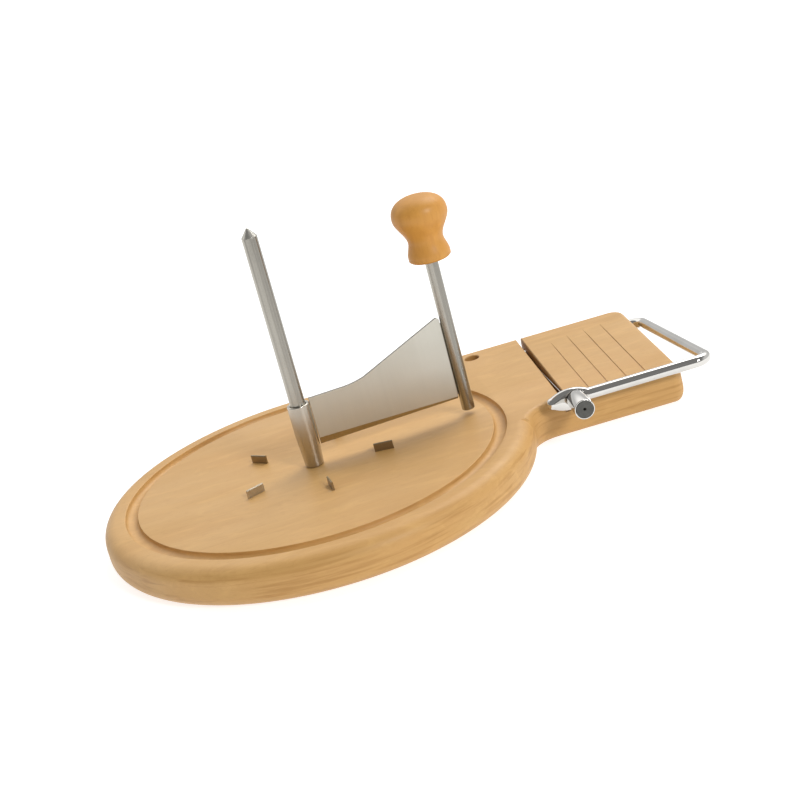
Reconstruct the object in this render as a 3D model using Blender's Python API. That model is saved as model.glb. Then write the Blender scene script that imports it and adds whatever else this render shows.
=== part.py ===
"""Cheese wire cutter: a round board on a tab-shaped handle, with a scraper that turns
on a centre spindle and a wire bow that swings down into a slot across the handle.

Lengths are in metres and +Z is up. The origin is on the underside of the board, on the
spindle's axis. +X runs from the spindle towards the handle.
"""

import math

import bmesh
import bpy
from mathutils import Matrix, Vector

MM = 0.001

# How far a cutter runs past the face it cuts through
OVERSHOOT = 1.0 * MM

# Board
BOARD_THICKNESS = 20.0 * MM
DISC_RADIUS = 110.0 * MM
EDGE_ROUND = 7.5 * MM
TAB_ROUND_SHARE = 0.55
TAB_END_X = 189.5 * MM
TAB_NEAR_Y = -10.0 * MM
TAB_FAR_Y = 102.0 * MM
TAB_NEAR_CORNER_RADIUS = 6.0 * MM
TAB_FAR_CORNER_RADIUS = 9.0 * MM
NEAR_FILLET_RADIUS = 14.0 * MM
FAR_FILLET_RADIUS = 30.0 * MM
GROOVE_INNER_RADIUS = 91.4 * MM
GROOVE_OUTER_RADIUS = 97.8 * MM
GROOVE_DEPTH = 3.2 * MM
HANG_HOLE_X = 99.5 * MM
HANG_HOLE_Y = 89.5 * MM
HANG_HOLE_RADIUS = 4.0 * MM

# Wire slot and the four gauge lines beside it
SLOT_X0 = 127.1 * MM
SLOT_X1 = 129.8 * MM
SLOT_NEAR_FLOOR_Z = 12.8 * MM
SLOT_FAR_FLOOR_Z = 6.4 * MM
GAUGE_FIRST_X = 142.1 * MM
GAUGE_PITCH = 9.95 * MM
GAUGE_COUNT = 4
GAUGE_WIDTH = 0.9 * MM
GAUGE_DEPTH = 0.7 * MM
GAUGE_FAR_Y = 80.0 * MM

# Spindle
SPINDLE_RADIUS = 3.9 * MM
SPINDLE_FOOT_Z = 7.0 * MM
SPINDLE_CONE_Z = 140.6 * MM
SPINDLE_TIP_Z = 144.9 * MM
SPINDLE_TIP_RADIUS = 0.6 * MM
PRESS_GAP = 0.15 * MM
RUN_GAP = 0.08 * MM

# Scraper
SCRAPER_ANGLE = math.radians(5.9)
COLLAR_Z0 = 20.3 * MM
COLLAR_Z1 = 29.2 * MM
COLLAR_RADIUS = 4.7 * MM
HUB_Z0 = 29.5 * MM
HUB_Z1 = 53.0 * MM
HUB_RADIUS = 5.6 * MM
HUB_TAPER_Z = 37.0 * MM
BLADE_THICKNESS = 1.5 * MM
BLADE_START = 5.9 * MM
BLADE_END = 79.2 * MM
BLADE_EDGE_Z = 29.2 * MM
BLADE_EDGE_LAND = 0.25 * MM
BEVEL_HUB_Z = 33.0 * MM
BEVEL_POST_Z = 30.6 * MM
BLADE_SHOULDER_Z = 54.4 * MM
BLADE_SHOULDER_S = 30.0 * MM
BLADE_SHOULDER_ROUND = 5.0 * MM
BLADE_SHOULDER_RISE = 1.6 * MM
BLADE_APEX_Z = 73.4 * MM
BLADE_APEX_RADIUS = 1.6 * MM
POST_S = 82.8 * MM
POST_RADIUS = 3.3 * MM
POST_Z0 = 22.6 * MM
POST_Z1 = 114.9 * MM

# Wooden knob
KNOB_Z0 = 103.4 * MM
KNOB_Z1 = 136.0 * MM
KNOB_FOOT_RADIUS = 10.6 * MM
KNOB_NECK_RADIUS = 8.9 * MM
KNOB_HEAD_RADIUS = 14.0 * MM
INSERT_Z0 = 103.6 * MM
INSERT_Z1 = 115.6 * MM
INSERT_RADIUS = 5.0 * MM

# Anchor spikes
SPIKE_ANGLES = (63.0, 137.5, 208.0, 277.0, 348.0)
SPIKE_RADIUS = 35.8 * MM
SPIKE_LENGTH = 9.6 * MM
SPIKE_THICKNESS = 1.0 * MM
SPIKE_TOP_Z = 24.2 * MM
SPIKE_FOOT_Z = 14.6 * MM
SPIKE_GAP = 0.3 * MM

# Wire bow
ROD_RADIUS = 3.0 * MM
PIVOT_Y = 89.0 * MM
PIVOT_Z = 13.0 * MM
LEG_TIP_X = 127.7 * MM
FAR_CORNER_X = 195.8 * MM
NEAR_CORNER_X = 202.6 * MM
ARM_Y = -15.8 * MM
ARM_Z = 21.2 * MM
BEND_RADIUS = 7.0 * MM
LUG_X0 = 118.0 * MM
LUG_X1 = 141.0 * MM
LUG_HALF_THICKNESS = 2.0 * MM
LUG_HALF_HEIGHT = 5.5 * MM
JOINT_GAP = 0.3 * MM

# Wire and its tensioner
WIRE_X = 128.6 * MM
WIRE_RADIUS = 0.3 * MM
WIRE_HOLE_RADIUS = 0.5 * MM
FERRULE_RADIUS = 1.1 * MM
FERRULE_LENGTH = 1.6 * MM
WIRE_OVERHANG = 0.2 * MM
STUD_X = 132.4 * MM
STUD_RADIUS = 2.0 * MM
STUD_END_Y = -31.0 * MM
WASHER_Y0 = -18.8 * MM
WASHER_Y1 = -19.6 * MM
WASHER_RADIUS = 4.7 * MM
NUT_Y0 = -19.9 * MM
NUT_Y1 = -35.0 * MM
NUT_RADIUS = 5.1 * MM
CAP_RADIUS = 4.4 * MM
CAP_THICKNESS = 1.2 * MM
CAP_RECESS = 1.4 * MM

WIRE_DIRECTION = Vector((0.0, ARM_Y - PIVOT_Y, ARM_Z - PIVOT_Z)).normalized()
POST_X = POST_S * math.cos(SCRAPER_ANGLE)
POST_Y = POST_S * math.sin(SCRAPER_ANGLE)


def clear_scene():
    """Remove every object so that the script always starts from nothing."""
    for item in list(bpy.data.objects):
        bpy.data.objects.remove(item, do_unlink=True)


def principled(name, color, metallic, roughness):
    """One Principled material."""
    material = bpy.data.materials.new(name)
    material.use_nodes = True
    shader = material.node_tree.nodes["Principled BSDF"]
    shader.inputs["Base Color"].default_value = (*color, 1.0)
    shader.inputs["Metallic"].default_value = metallic
    shader.inputs["Roughness"].default_value = roughness
    material.diffuse_color = (*color, 1.0)
    return material


def beech(name):
    """Oiled beech."""
    return principled(name, (0.66, 0.42, 0.22), 0.0, 0.45)


def varnished_beech(name):
    """Varnished beech, a little darker."""
    return principled(name, (0.62, 0.34, 0.12), 0.0, 0.3)


def satin_steel(name):
    """Satin stainless steel."""
    return principled(name, (0.56, 0.54, 0.51), 1.0, 0.35)


def chrome(name):
    """Bright chromed steel."""
    return principled(name, (0.78, 0.78, 0.8), 1.0, 0.12)


def dark_plastic(name):
    """Dark grey plastic."""
    return principled(name, (0.07, 0.07, 0.06), 0.0, 0.4)


def brass(name):
    """Plain brass."""
    return principled(name, (0.72, 0.53, 0.24), 1.0, 0.35)


def add_object(name, mesh_data, material, smooth_angle=None):
    """Turn a bmesh into a named object with its material."""
    bmesh.ops.recalc_face_normals(mesh_data, faces=mesh_data.faces[:])
    mesh = bpy.data.meshes.new(name)
    mesh_data.to_mesh(mesh)
    mesh_data.free()
    item = bpy.data.objects.new(name, mesh)
    bpy.context.scene.collection.objects.link(item)
    if material is not None:
        mesh.materials.append(material)
    if smooth_angle is not None:
        mesh.shade_smooth()
        mesh.set_sharp_from_angle(angle=math.radians(smooth_angle))
    return item


def add_cutter(name, mesh_data):
    """A hidden object that only shapes others."""
    item = add_object(name, mesh_data, None)
    item.hide_render = True
    item.display_type = "WIRE"
    return item


def cut(target, cutter):
    """Subtract a cutter from a target."""
    modifier = target.modifiers.new("cut_" + cutter.name, "BOOLEAN")
    modifier.operation = "DIFFERENCE"
    modifier.solver = "EXACT"
    modifier.object = cutter


def set_origin(item, point):
    """Move an object's origin to a point and leave its mesh where it is."""
    offset = Vector(point)
    item.data.transform(Matrix.Translation(-offset))
    item.location = offset


def add_ring_faces(mesh_data, rings):
    """Join neighbouring rings of vertices with quads."""
    for low, high in zip(rings[:-1], rings[1:]):
        count = len(low)
        for k in range(count):
            j = (k + 1) % count
            mesh_data.faces.new((low[k], low[j], high[j], high[k]))


def add_lathe(mesh_data, profile, segments, placement):
    """Turn a profile of (radius, height) pairs around the local Z axis.

    A profile that starts and ends on the axis makes a solid body. Any other profile is
    closed on itself and makes a ring."""
    solid = profile[0][0] == 0.0 and profile[-1][0] == 0.0
    inner = profile[1:-1] if solid else profile
    rings = []
    for radius, height in inner:
        ring = []
        for k in range(segments):
            angle = 2.0 * math.pi * k / segments
            point = Vector((radius * math.cos(angle), radius * math.sin(angle), height))
            ring.append(mesh_data.verts.new(placement @ point))
        rings.append(ring)
    if solid:
        add_ring_faces(mesh_data, rings)
        mesh_data.faces.new(rings[0])
        mesh_data.faces.new(rings[-1])
    else:
        add_ring_faces(mesh_data, rings + rings[:1])


def add_box(mesh_data, low, high, placement=None):
    """A box between two corners."""
    corners = []
    for z in (low[2], high[2]):
        for x, y in ((low[0], low[1]), (high[0], low[1]), (high[0], high[1]), (low[0], high[1])):
            point = Vector((x, y, z))
            if placement is not None:
                point = placement @ point
            corners.append(mesh_data.verts.new(point))
    add_ring_faces(mesh_data, [corners[:4], corners[4:]])
    mesh_data.faces.new(corners[:4])
    mesh_data.faces.new(corners[4:])


def add_tube(mesh_data, path, radius, segments):
    """Sweep a round section along a path of points and close both ends."""
    rings = []
    side = None
    for k, point in enumerate(path):
        before = path[max(k - 1, 0)]
        after = path[min(k + 1, len(path) - 1)]
        toward = (after - before).normalized()
        if side is None:
            side = toward.orthogonal().normalized()
        side = (side - toward * side.dot(toward)).normalized()
        up = toward.cross(side)
        ring = []
        for j in range(segments):
            angle = 2.0 * math.pi * j / segments
            offset = side * math.cos(angle) + up * math.sin(angle)
            ring.append(mesh_data.verts.new(point + offset * radius))
        rings.append(ring)
    add_ring_faces(mesh_data, rings)
    mesh_data.faces.new(rings[0])
    mesh_data.faces.new(rings[-1])


def rounded_path(corners, radius, steps):
    """Replace each inner corner of a path by an arc."""
    path = [corners[0]]
    for before, corner, after in zip(corners[:-2], corners[1:-1], corners[2:]):
        to_before = (before - corner).normalized()
        to_after = (after - corner).normalized()
        half = 0.5 * to_before.angle(to_after)
        centre = corner + (to_before + to_after).normalized() * (radius / math.sin(half))
        start = corner + to_before * (radius / math.tan(half)) - centre
        normal = start.cross(corner + to_after * (radius / math.tan(half)) - centre)
        for k in range(steps + 1):
            turn = Matrix.Rotation((math.pi - 2.0 * half) * k / steps, 3, normal)
            path.append(centre + turn @ start)
    path.append(corners[-1])
    return path


def arc_points(centre, radius, start, end, steps, outward, share):
    """Points of an arc, each with its direction away from the wood and its share of rounding."""
    points = []
    for k in range(steps + 1):
        angle = math.radians(start + (end - start) * k / steps)
        direction = Vector((math.cos(angle), math.sin(angle)))
        points.append((centre + direction * radius, direction * outward, share))
    return points


def board_outline():
    """The plan outline of the board: disc, tab and the two fillets between them."""
    near_y = TAB_NEAR_Y - NEAR_FILLET_RADIUS
    near_x = math.sqrt((DISC_RADIUS + NEAR_FILLET_RADIUS) ** 2 - near_y ** 2)
    near = Vector((near_x, near_y))
    far_y = TAB_FAR_Y + FAR_FILLET_RADIUS
    far_x = math.sqrt((DISC_RADIUS + FAR_FILLET_RADIUS) ** 2 - far_y ** 2)
    far = Vector((far_x, far_y))
    near_angle = math.degrees(math.atan2(near_y, near_x))
    far_angle = math.degrees(math.atan2(far_y, far_x))
    near_corner = Vector((TAB_END_X, TAB_NEAR_Y)) + Vector((-1.0, 1.0)) * TAB_NEAR_CORNER_RADIUS
    far_corner = Vector((TAB_END_X, TAB_FAR_Y)) - Vector((1.0, 1.0)) * TAB_FAR_CORNER_RADIUS
    centre = Vector((0.0, 0.0))
    share = TAB_ROUND_SHARE
    disc = arc_points(centre, DISC_RADIUS, far_angle, 360.0 + near_angle, 116, 1.0, 1.0)
    near_fillet = arc_points(near, NEAR_FILLET_RADIUS, 180.0 + near_angle, 90.0, 8, -1.0, share)
    low = arc_points(near_corner, TAB_NEAR_CORNER_RADIUS, -90.0, 0.0, 8, 1.0, share)
    high = arc_points(far_corner, TAB_FAR_CORNER_RADIUS, 0.0, 90.0, 8, 1.0, share)
    far_fillet = arc_points(far, FAR_FILLET_RADIUS, -90.0, -180.0 + far_angle, 5, -1.0, share)
    return disc + near_fillet[1:] + low + high + far_fillet[:-1]


def edge_profile(steps):
    """Inset and height of each ring up the rounded edge of the board."""
    profile = []
    for k in range(steps + 1):
        angle = 0.5 * math.pi * k / steps
        inset = EDGE_ROUND * (1.0 - math.sin(angle))
        profile.append((inset, EDGE_ROUND * (1.0 - math.cos(angle))))
    for k in range(steps, -1, -1):
        angle = 0.5 * math.pi * k / steps
        inset = EDGE_ROUND * (1.0 - math.sin(angle))
        profile.append((inset, BOARD_THICKNESS - EDGE_ROUND * (1.0 - math.cos(angle))))
    return profile


def groove_cutter():
    """The ring that cuts the juice groove."""
    top = BOARD_THICKNESS
    middle = 0.5 * (GROOVE_INNER_RADIUS + GROOVE_OUTER_RADIUS)
    half = 0.5 * (GROOVE_OUTER_RADIUS - GROOVE_INNER_RADIUS)
    profile = [(GROOVE_OUTER_RADIUS, top + OVERSHOOT), (GROOVE_INNER_RADIUS, top + OVERSHOOT)]
    for k in range(7):
        angle = math.pi * k / 6
        profile.append((middle - half * math.cos(angle), top - GROOVE_DEPTH * math.sin(angle)))
    mesh_data = bmesh.new()
    add_lathe(mesh_data, profile, 116, Matrix.Identity(4))
    return add_cutter("groove_cutter", mesh_data)


def add_slot(mesh_data, low_y, high_y, over):
    """The wire slot; its floor drops towards the bow's pivot, as the wire's line does."""
    fall = (SLOT_FAR_FLOOR_Z - SLOT_NEAR_FLOOR_Z) / (TAB_FAR_Y - TAB_NEAR_Y)
    rings = []
    for y in (low_y, high_y):
        floor = SLOT_NEAR_FLOOR_Z + fall * (y - TAB_NEAR_Y)
        corners = ((SLOT_X0, floor), (SLOT_X1, floor), (SLOT_X1, over), (SLOT_X0, over))
        rings.append([mesh_data.verts.new((x, y, z)) for x, z in corners])
    add_ring_faces(mesh_data, rings)
    mesh_data.faces.new(rings[0])
    mesh_data.faces.new(rings[-1])


def board_cutter():
    """Slot, gauge lines, hanging hole, spindle hole and the spikes' saw cuts."""
    mesh_data = bmesh.new()
    over = BOARD_THICKNESS + OVERSHOOT
    low_y = TAB_NEAR_Y - OVERSHOOT
    high_y = TAB_FAR_Y + OVERSHOOT
    add_slot(mesh_data, low_y, high_y, over)
    for k in range(GAUGE_COUNT):
        x = GAUGE_FIRST_X + k * GAUGE_PITCH
        low = (x - 0.5 * GAUGE_WIDTH, low_y, BOARD_THICKNESS - GAUGE_DEPTH)
        high = (x + 0.5 * GAUGE_WIDTH, GAUGE_FAR_Y, over)
        add_box(mesh_data, low, high)
    hole = [(0.0, -OVERSHOOT), (HANG_HOLE_RADIUS, -OVERSHOOT), (HANG_HOLE_RADIUS, over), (0.0, over)]
    add_lathe(mesh_data, hole, 32, Matrix.Translation((HANG_HOLE_X, HANG_HOLE_Y, 0.0)))
    seat = SPINDLE_RADIUS + PRESS_GAP
    floor = SPINDLE_FOOT_Z - JOINT_GAP
    add_lathe(mesh_data, [(0.0, floor), (seat, floor), (seat, over), (0.0, over)], 48, Matrix.Identity(4))
    half_length = 0.5 * SPIKE_LENGTH + SPIKE_GAP
    half_width = 0.5 * SPIKE_THICKNESS + SPIKE_GAP
    for angle in SPIKE_ANGLES:
        low = (SPIKE_RADIUS - half_length, -half_width, SPIKE_FOOT_Z - SPIKE_GAP)
        high = (SPIKE_RADIUS + half_length, half_width, over)
        add_box(mesh_data, low, high, Matrix.Rotation(math.radians(angle), 4, "Z"))
    return add_cutter("board_cutter", mesh_data)


def pivot_cutter():
    """The bore in the tab that the bow's far leg turns in."""
    mesh_data = bmesh.new()
    radius = ROD_RADIUS + RUN_GAP
    length = TAB_END_X - SLOT_X0
    profile = [(0.0, 0.0), (radius, 0.0), (radius, length), (0.0, length)]
    start = SLOT_X0 + OVERSHOOT
    placement = Matrix.Translation((start, PIVOT_Y, PIVOT_Z)) @ Matrix.Rotation(0.5 * math.pi, 4, "Y")
    add_lathe(mesh_data, profile, 40, placement)
    return add_cutter("pivot_cutter", mesh_data)


def make_board():
    """The one-piece beech board."""
    mesh_data = bmesh.new()
    outline = board_outline()
    rings = []
    for inset, height in edge_profile(5):
        ring = []
        for point, outward, share in outline:
            place = point - outward * (inset * share)
            ring.append(mesh_data.verts.new((place.x, place.y, height)))
        rings.append(ring)
    add_ring_faces(mesh_data, rings)
    mesh_data.faces.new(rings[0])
    mesh_data.faces.new(rings[-1])
    board = add_object("board", mesh_data, beech("board_beech"), 35.0)
    cut(board, groove_cutter())
    cut(board, board_cutter())
    cut(board, pivot_cutter())


def make_spindle():
    """The steel rod that stands in the middle of the board."""
    mesh_data = bmesh.new()
    foot = SPINDLE_FOOT_Z
    profile = [(0.0, foot), (SPINDLE_RADIUS - 0.5 * MM, foot), (SPINDLE_RADIUS, foot + 0.5 * MM)]
    profile.append((SPINDLE_RADIUS, SPINDLE_CONE_Z))
    profile.append((SPINDLE_TIP_RADIUS, SPINDLE_TIP_Z - 0.3 * MM))
    profile.append((0.4 * SPINDLE_TIP_RADIUS, SPINDLE_TIP_Z))
    profile.append((0.0, SPINDLE_TIP_Z))
    add_lathe(mesh_data, profile, 48, Matrix.Identity(4))
    add_object("spindle", mesh_data, satin_steel("spindle_steel"), 35.0)


def taper_radius(height):
    """Outside radius of the collar and of the hub's lower end, which share one taper."""
    rise = (height - COLLAR_Z0) / (HUB_TAPER_Z - COLLAR_Z0)
    return COLLAR_RADIUS + (HUB_RADIUS - COLLAR_RADIUS) * rise


def make_hub_collar():
    """The narrow collar under the hub that rides up the spindle with the scraper."""
    mesh_data = bmesh.new()
    bore = SPINDLE_RADIUS + RUN_GAP
    ease = 0.3 * MM
    profile = [(bore, COLLAR_Z0), (COLLAR_RADIUS - ease, COLLAR_Z0)]
    profile.append((taper_radius(COLLAR_Z0 + ease), COLLAR_Z0 + ease))
    profile.append((taper_radius(COLLAR_Z1), COLLAR_Z1))
    profile.append((bore, COLLAR_Z1))
    add_lathe(mesh_data, profile, 48, Matrix.Identity(4))
    add_object("hub_collar", mesh_data, satin_steel("collar_steel"), 35.0)


def make_scraper_hub():
    """The sleeve that turns and slides on the spindle."""
    mesh_data = bmesh.new()
    bore = SPINDLE_RADIUS + RUN_GAP
    profile = [(bore, HUB_Z0), (taper_radius(HUB_Z0), HUB_Z0), (HUB_RADIUS, HUB_TAPER_Z)]
    profile.append((HUB_RADIUS, HUB_Z1 - 0.5 * MM))
    profile.append((HUB_RADIUS - 0.5 * MM, HUB_Z1))
    profile.append((bore + 0.4 * MM, HUB_Z1))
    profile.append((bore, HUB_Z1 - 0.4 * MM))
    add_lathe(mesh_data, profile, 48, Matrix.Identity(4))
    add_object("scraper_hub", mesh_data, satin_steel("hub_steel"), 35.0)


def blade_shape():
    """Blade outline from the post over the apex and down to the hub."""
    radius = BLADE_APEX_RADIUS
    round_s = BLADE_SHOULDER_S + BLADE_SHOULDER_ROUND
    round_z = BLADE_SHOULDER_Z + BLADE_SHOULDER_RISE
    slope = math.atan2(BLADE_APEX_Z - round_z, BLADE_END - radius - round_s)
    shape = []
    for k in range(7):
        angle = (0.5 * math.pi + slope) * k / 6
        s = BLADE_END - radius + radius * math.cos(angle)
        shape.append((s, BLADE_APEX_Z - radius + radius * math.sin(angle)))
    for k in range(6):
        blend = k / 5.0
        s = round_s - 2.4 * BLADE_SHOULDER_ROUND * blend
        shape.append((s, BLADE_SHOULDER_Z + BLADE_SHOULDER_RISE * (1.0 - blend) ** 2))
    return shape + [(BLADE_START, BLADE_SHOULDER_Z)]


def make_scraper_blade():
    """The scraper plate, sharpened along its lower edge."""
    mesh_data = bmesh.new()
    placement = Matrix.Rotation(SCRAPER_ANGLE, 4, "Z")
    half = 0.5 * BLADE_THICKNESS
    upper = blade_shape()

    def corner(s, y, z):
        return mesh_data.verts.new(placement @ Vector((s, y, z)))

    front_upper = [corner(s, -half, z) for s, z in upper]
    back_upper = [corner(s, half, z) for s, z in upper]
    front_hub = corner(BLADE_START, -half, BEVEL_HUB_Z)
    front_post = corner(BLADE_END, -half, BEVEL_POST_Z)
    edge_hub = corner(BLADE_START, half - BLADE_EDGE_LAND, BLADE_EDGE_Z)
    edge_post = corner(BLADE_END, half - BLADE_EDGE_LAND, BLADE_EDGE_Z)
    back_hub = corner(BLADE_START, half, BLADE_EDGE_Z)
    back_post = corner(BLADE_END, half, BLADE_EDGE_Z)
    mesh_data.faces.new([front_hub, front_post] + front_upper)
    mesh_data.faces.new([back_hub, back_post] + back_upper)
    for k in range(len(upper) - 1):
        mesh_data.faces.new((front_upper[k], front_upper[k + 1], back_upper[k + 1], back_upper[k]))
    mesh_data.faces.new((front_hub, front_post, edge_post, edge_hub))
    mesh_data.faces.new((edge_hub, edge_post, back_post, back_hub))
    mesh_data.faces.new((front_upper[-1], front_hub, edge_hub, back_hub, back_upper[-1]))
    mesh_data.faces.new((front_upper[0], front_post, edge_post, back_post, back_upper[0]))
    add_object("scraper_blade", mesh_data, satin_steel("blade_steel"))


def make_scraper_post():
    """The upright rod at the blade's outer end."""
    mesh_data = bmesh.new()
    chamfer = 0.4 * MM
    profile = [(0.0, POST_Z0), (POST_RADIUS - chamfer, POST_Z0), (POST_RADIUS, POST_Z0 + chamfer)]
    profile += [(POST_RADIUS, POST_Z1 - chamfer), (POST_RADIUS - chamfer, POST_Z1), (0.0, POST_Z1)]
    add_lathe(mesh_data, profile, 32, Matrix.Translation((POST_X, POST_Y, 0.0)))
    add_object("scraper_post", mesh_data, satin_steel("post_steel"), 35.0)


def ease(share, start, end, before, after):
    """Move smoothly from one value to another between two shares of a length."""
    t = min(1.0, max(0.0, (share - start) / (end - start)))
    return before + (after - before) * t * t * (3.0 - 2.0 * t)


def knob_radius(share):
    """Radius of the knob at a share of its height: a flared foot, a neck and a round head."""
    if share < 0.31:
        return ease(share, 0.08, 0.31, KNOB_FOOT_RADIUS, KNOB_NECK_RADIUS)
    if share < 0.7:
        return ease(share, 0.31, 0.7, KNOB_NECK_RADIUS, KNOB_HEAD_RADIUS)
    dome = (share - 0.7) / 0.3
    return KNOB_HEAD_RADIUS * max(0.0, 1.0 - dome ** 2.4) ** (1.0 / 2.4)


def make_knob():
    """The turned wooden knob that the scraper is pushed round by."""
    mesh_data = bmesh.new()
    seat = INSERT_RADIUS + PRESS_GAP
    roof = INSERT_Z1 + JOINT_GAP
    profile = [(0.0, roof), (seat, roof), (seat, KNOB_Z0), (KNOB_FOOT_RADIUS - 0.6 * MM, KNOB_Z0)]
    height = KNOB_Z1 - KNOB_Z0
    steps = 20
    for k in range(1, steps + 1):
        share = math.sin(0.5 * math.pi * k / (steps + 0.5)) ** 1.2
        profile.append((knob_radius(share), KNOB_Z0 + height * share))
    profile.append((0.0, KNOB_Z1))
    add_lathe(mesh_data, profile, 40, Matrix.Translation((POST_X, POST_Y, 0.0)))
    add_object("knob", mesh_data, varnished_beech("knob_beech"), 50.0)


def make_knob_insert():
    """The metal sleeve in the knob that holds it on the post."""
    mesh_data = bmesh.new()
    bore = POST_RADIUS + PRESS_GAP
    profile = [(bore, INSERT_Z0), (INSERT_RADIUS, INSERT_Z0)]
    profile += [(INSERT_RADIUS, INSERT_Z1), (bore, INSERT_Z1)]
    add_lathe(mesh_data, profile, 32, Matrix.Translation((POST_X, POST_Y, 0.0)))
    add_object("knob_insert", mesh_data, brass("insert_brass"), 35.0)


def make_anchor_spike(number, angle):
    """One upright steel fin that keeps the cheese from turning."""
    mesh_data = bmesh.new()
    placement = Matrix.Rotation(math.radians(angle), 4, "Z")
    inner = SPIKE_RADIUS - 0.5 * SPIKE_LENGTH
    outer = SPIKE_RADIUS + 0.5 * SPIKE_LENGTH
    half = 0.5 * SPIKE_THICKNESS
    crest = 0.6 * half
    shoulder = SPIKE_TOP_Z - 0.4 * MM
    rings = []
    for width, z in ((half, SPIKE_FOOT_Z), (half, shoulder), (crest, SPIKE_TOP_Z)):
        corners = ((inner, -width), (outer, -width), (outer, width), (inner, width))
        rings.append([mesh_data.verts.new(placement @ Vector((x, y, z))) for x, y in corners])
    add_ring_faces(mesh_data, rings)
    mesh_data.faces.new(rings[0])
    mesh_data.faces.new(rings[-1])
    name = "anchor_spike_%d" % number
    add_object(name, mesh_data, satin_steel(name + "_steel"))


def along_wire(distance_y):
    """Point of the wire's line at a given Y."""
    point = Vector((WIRE_X, PIVOT_Y, PIVOT_Z))
    return point + WIRE_DIRECTION * ((distance_y - PIVOT_Y) / WIRE_DIRECTION.y)


def wire_hole_cutter(name, middle_y):
    """A fine hole along the wire's line, right through a piece whose middle is at a given Y."""
    mesh_data = bmesh.new()
    reach = 2.0 * ROD_RADIUS
    ends = [along_wire(middle_y + reach), along_wire(middle_y - reach)]
    add_tube(mesh_data, ends, WIRE_HOLE_RADIUS, 16)
    return add_cutter(name, mesh_data)


def make_bow_rod():
    """The bent rod: far leg in the bore, crossbar beyond the tab's end, near arm."""
    mesh_data = bmesh.new()
    corners = [Vector((LEG_TIP_X, PIVOT_Y, PIVOT_Z)), Vector((FAR_CORNER_X, PIVOT_Y, PIVOT_Z))]
    corners.append(Vector((NEAR_CORNER_X, ARM_Y, ARM_Z)))
    corners.append(Vector((LUG_X1 + JOINT_GAP, ARM_Y, ARM_Z)))
    add_tube(mesh_data, rounded_path(corners, BEND_RADIUS, 7), ROD_RADIUS, 24)
    rod = add_object("bow_rod", mesh_data, chrome("bow_chrome"), 35.0)
    cut(rod, wire_hole_cutter("leg_hole_cutter", PIVOT_Y))
    set_origin(rod, (FAR_CORNER_X, PIVOT_Y, PIVOT_Z))


def make_bow_lug():
    """The flattened end of the near arm, drilled for the stud and the wire."""
    mesh_data = bmesh.new()
    length = LUG_X1 - LUG_X0
    rings = []
    places = [0.0, 0.03, 0.06] + [0.1 + 0.084 * k for k in range(11)] + [1.0]
    for place in places:
        flat = max(0.0, 1.0 - ((place - 0.52) / 0.42) ** 2)
        half_y = ROD_RADIUS + (LUG_HALF_THICKNESS - ROD_RADIUS) * flat
        half_z = ROD_RADIUS + (LUG_HALF_HEIGHT - ROD_RADIUS) * flat
        shrink = math.sqrt(1.0 - 0.7 * max(0.0, 1.0 - place / 0.1) ** 2)
        square = 1.0 - 0.45 * flat
        ring = []
        for k in range(24):
            angle = 2.0 * math.pi * k / 24
            cy = math.copysign(abs(math.cos(angle)) ** square, math.cos(angle))
            point = Vector((LUG_X0 + length * place, ARM_Y, ARM_Z))
            point.y += half_y * shrink * cy
            point.z += half_z * shrink * math.sin(angle)
            ring.append(mesh_data.verts.new(point))
        rings.append(ring)
    add_ring_faces(mesh_data, rings)
    mesh_data.faces.new(rings[0])
    mesh_data.faces.new(rings[-1])
    lug = add_object("bow_lug", mesh_data, chrome("lug_chrome"), 35.0)
    cut(lug, wire_hole_cutter("lug_hole_cutter", ARM_Y))
    cut(lug, stud_hole_cutter())
    set_origin(lug, (STUD_X, PIVOT_Y, PIVOT_Z))


def about_stud(y):
    """Placement with local Z pointing out of the stud's free end."""
    return Matrix.Translation((STUD_X, y, ARM_Z)) @ Matrix.Rotation(0.5 * math.pi, 4, "X")


def stud_hole_cutter():
    """The hole through the lug for the stud."""
    mesh_data = bmesh.new()
    radius = STUD_RADIUS + PRESS_GAP
    depth = LUG_HALF_THICKNESS + OVERSHOOT
    profile = [(0.0, -depth), (radius, -depth), (radius, depth), (0.0, depth)]
    add_lathe(mesh_data, profile, 24, about_stud(ARM_Y))
    return add_cutter("stud_hole_cutter", mesh_data)


def make_cutting_wire():
    """The taut wire from the far ferrule, through the leg and the lug, to its bent tail."""
    mesh_data = bmesh.new()
    start = along_wire(PIVOT_Y + ROD_RADIUS + JOINT_GAP + FERRULE_LENGTH + WIRE_OVERHANG)
    bend = along_wire(ARM_Y - LUG_HALF_THICKNESS - 0.5 * MM)
    tail = bend + Vector((1.3 * MM, 0.0, 0.0))
    add_tube(mesh_data, rounded_path([start, bend, tail], 0.4 * MM, 4), WIRE_RADIUS, 12)
    wire = add_object("cutting_wire", mesh_data, satin_steel("wire_steel"), 40.0)
    set_origin(wire, (WIRE_X, PIVOT_Y, PIVOT_Z))


def make_wire_ferrule():
    """The crimped sleeve that stops the wire behind the bow's leg."""
    mesh_data = bmesh.new()
    direction = WIRE_DIRECTION
    start = along_wire(PIVOT_Y + ROD_RADIUS + JOINT_GAP + FERRULE_LENGTH)
    placement = Matrix.Translation(start) @ direction.to_track_quat("Z", "Y").to_matrix().to_4x4()
    bore = WIRE_RADIUS + PRESS_GAP
    profile = [(bore, 0.0), (FERRULE_RADIUS, 0.0), (FERRULE_RADIUS, FERRULE_LENGTH), (bore, FERRULE_LENGTH)]
    add_lathe(mesh_data, profile, 24, placement)
    ferrule = add_object("wire_ferrule", mesh_data, brass("ferrule_brass"), 35.0)
    set_origin(ferrule, (WIRE_X, PIVOT_Y, PIVOT_Z))


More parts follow.
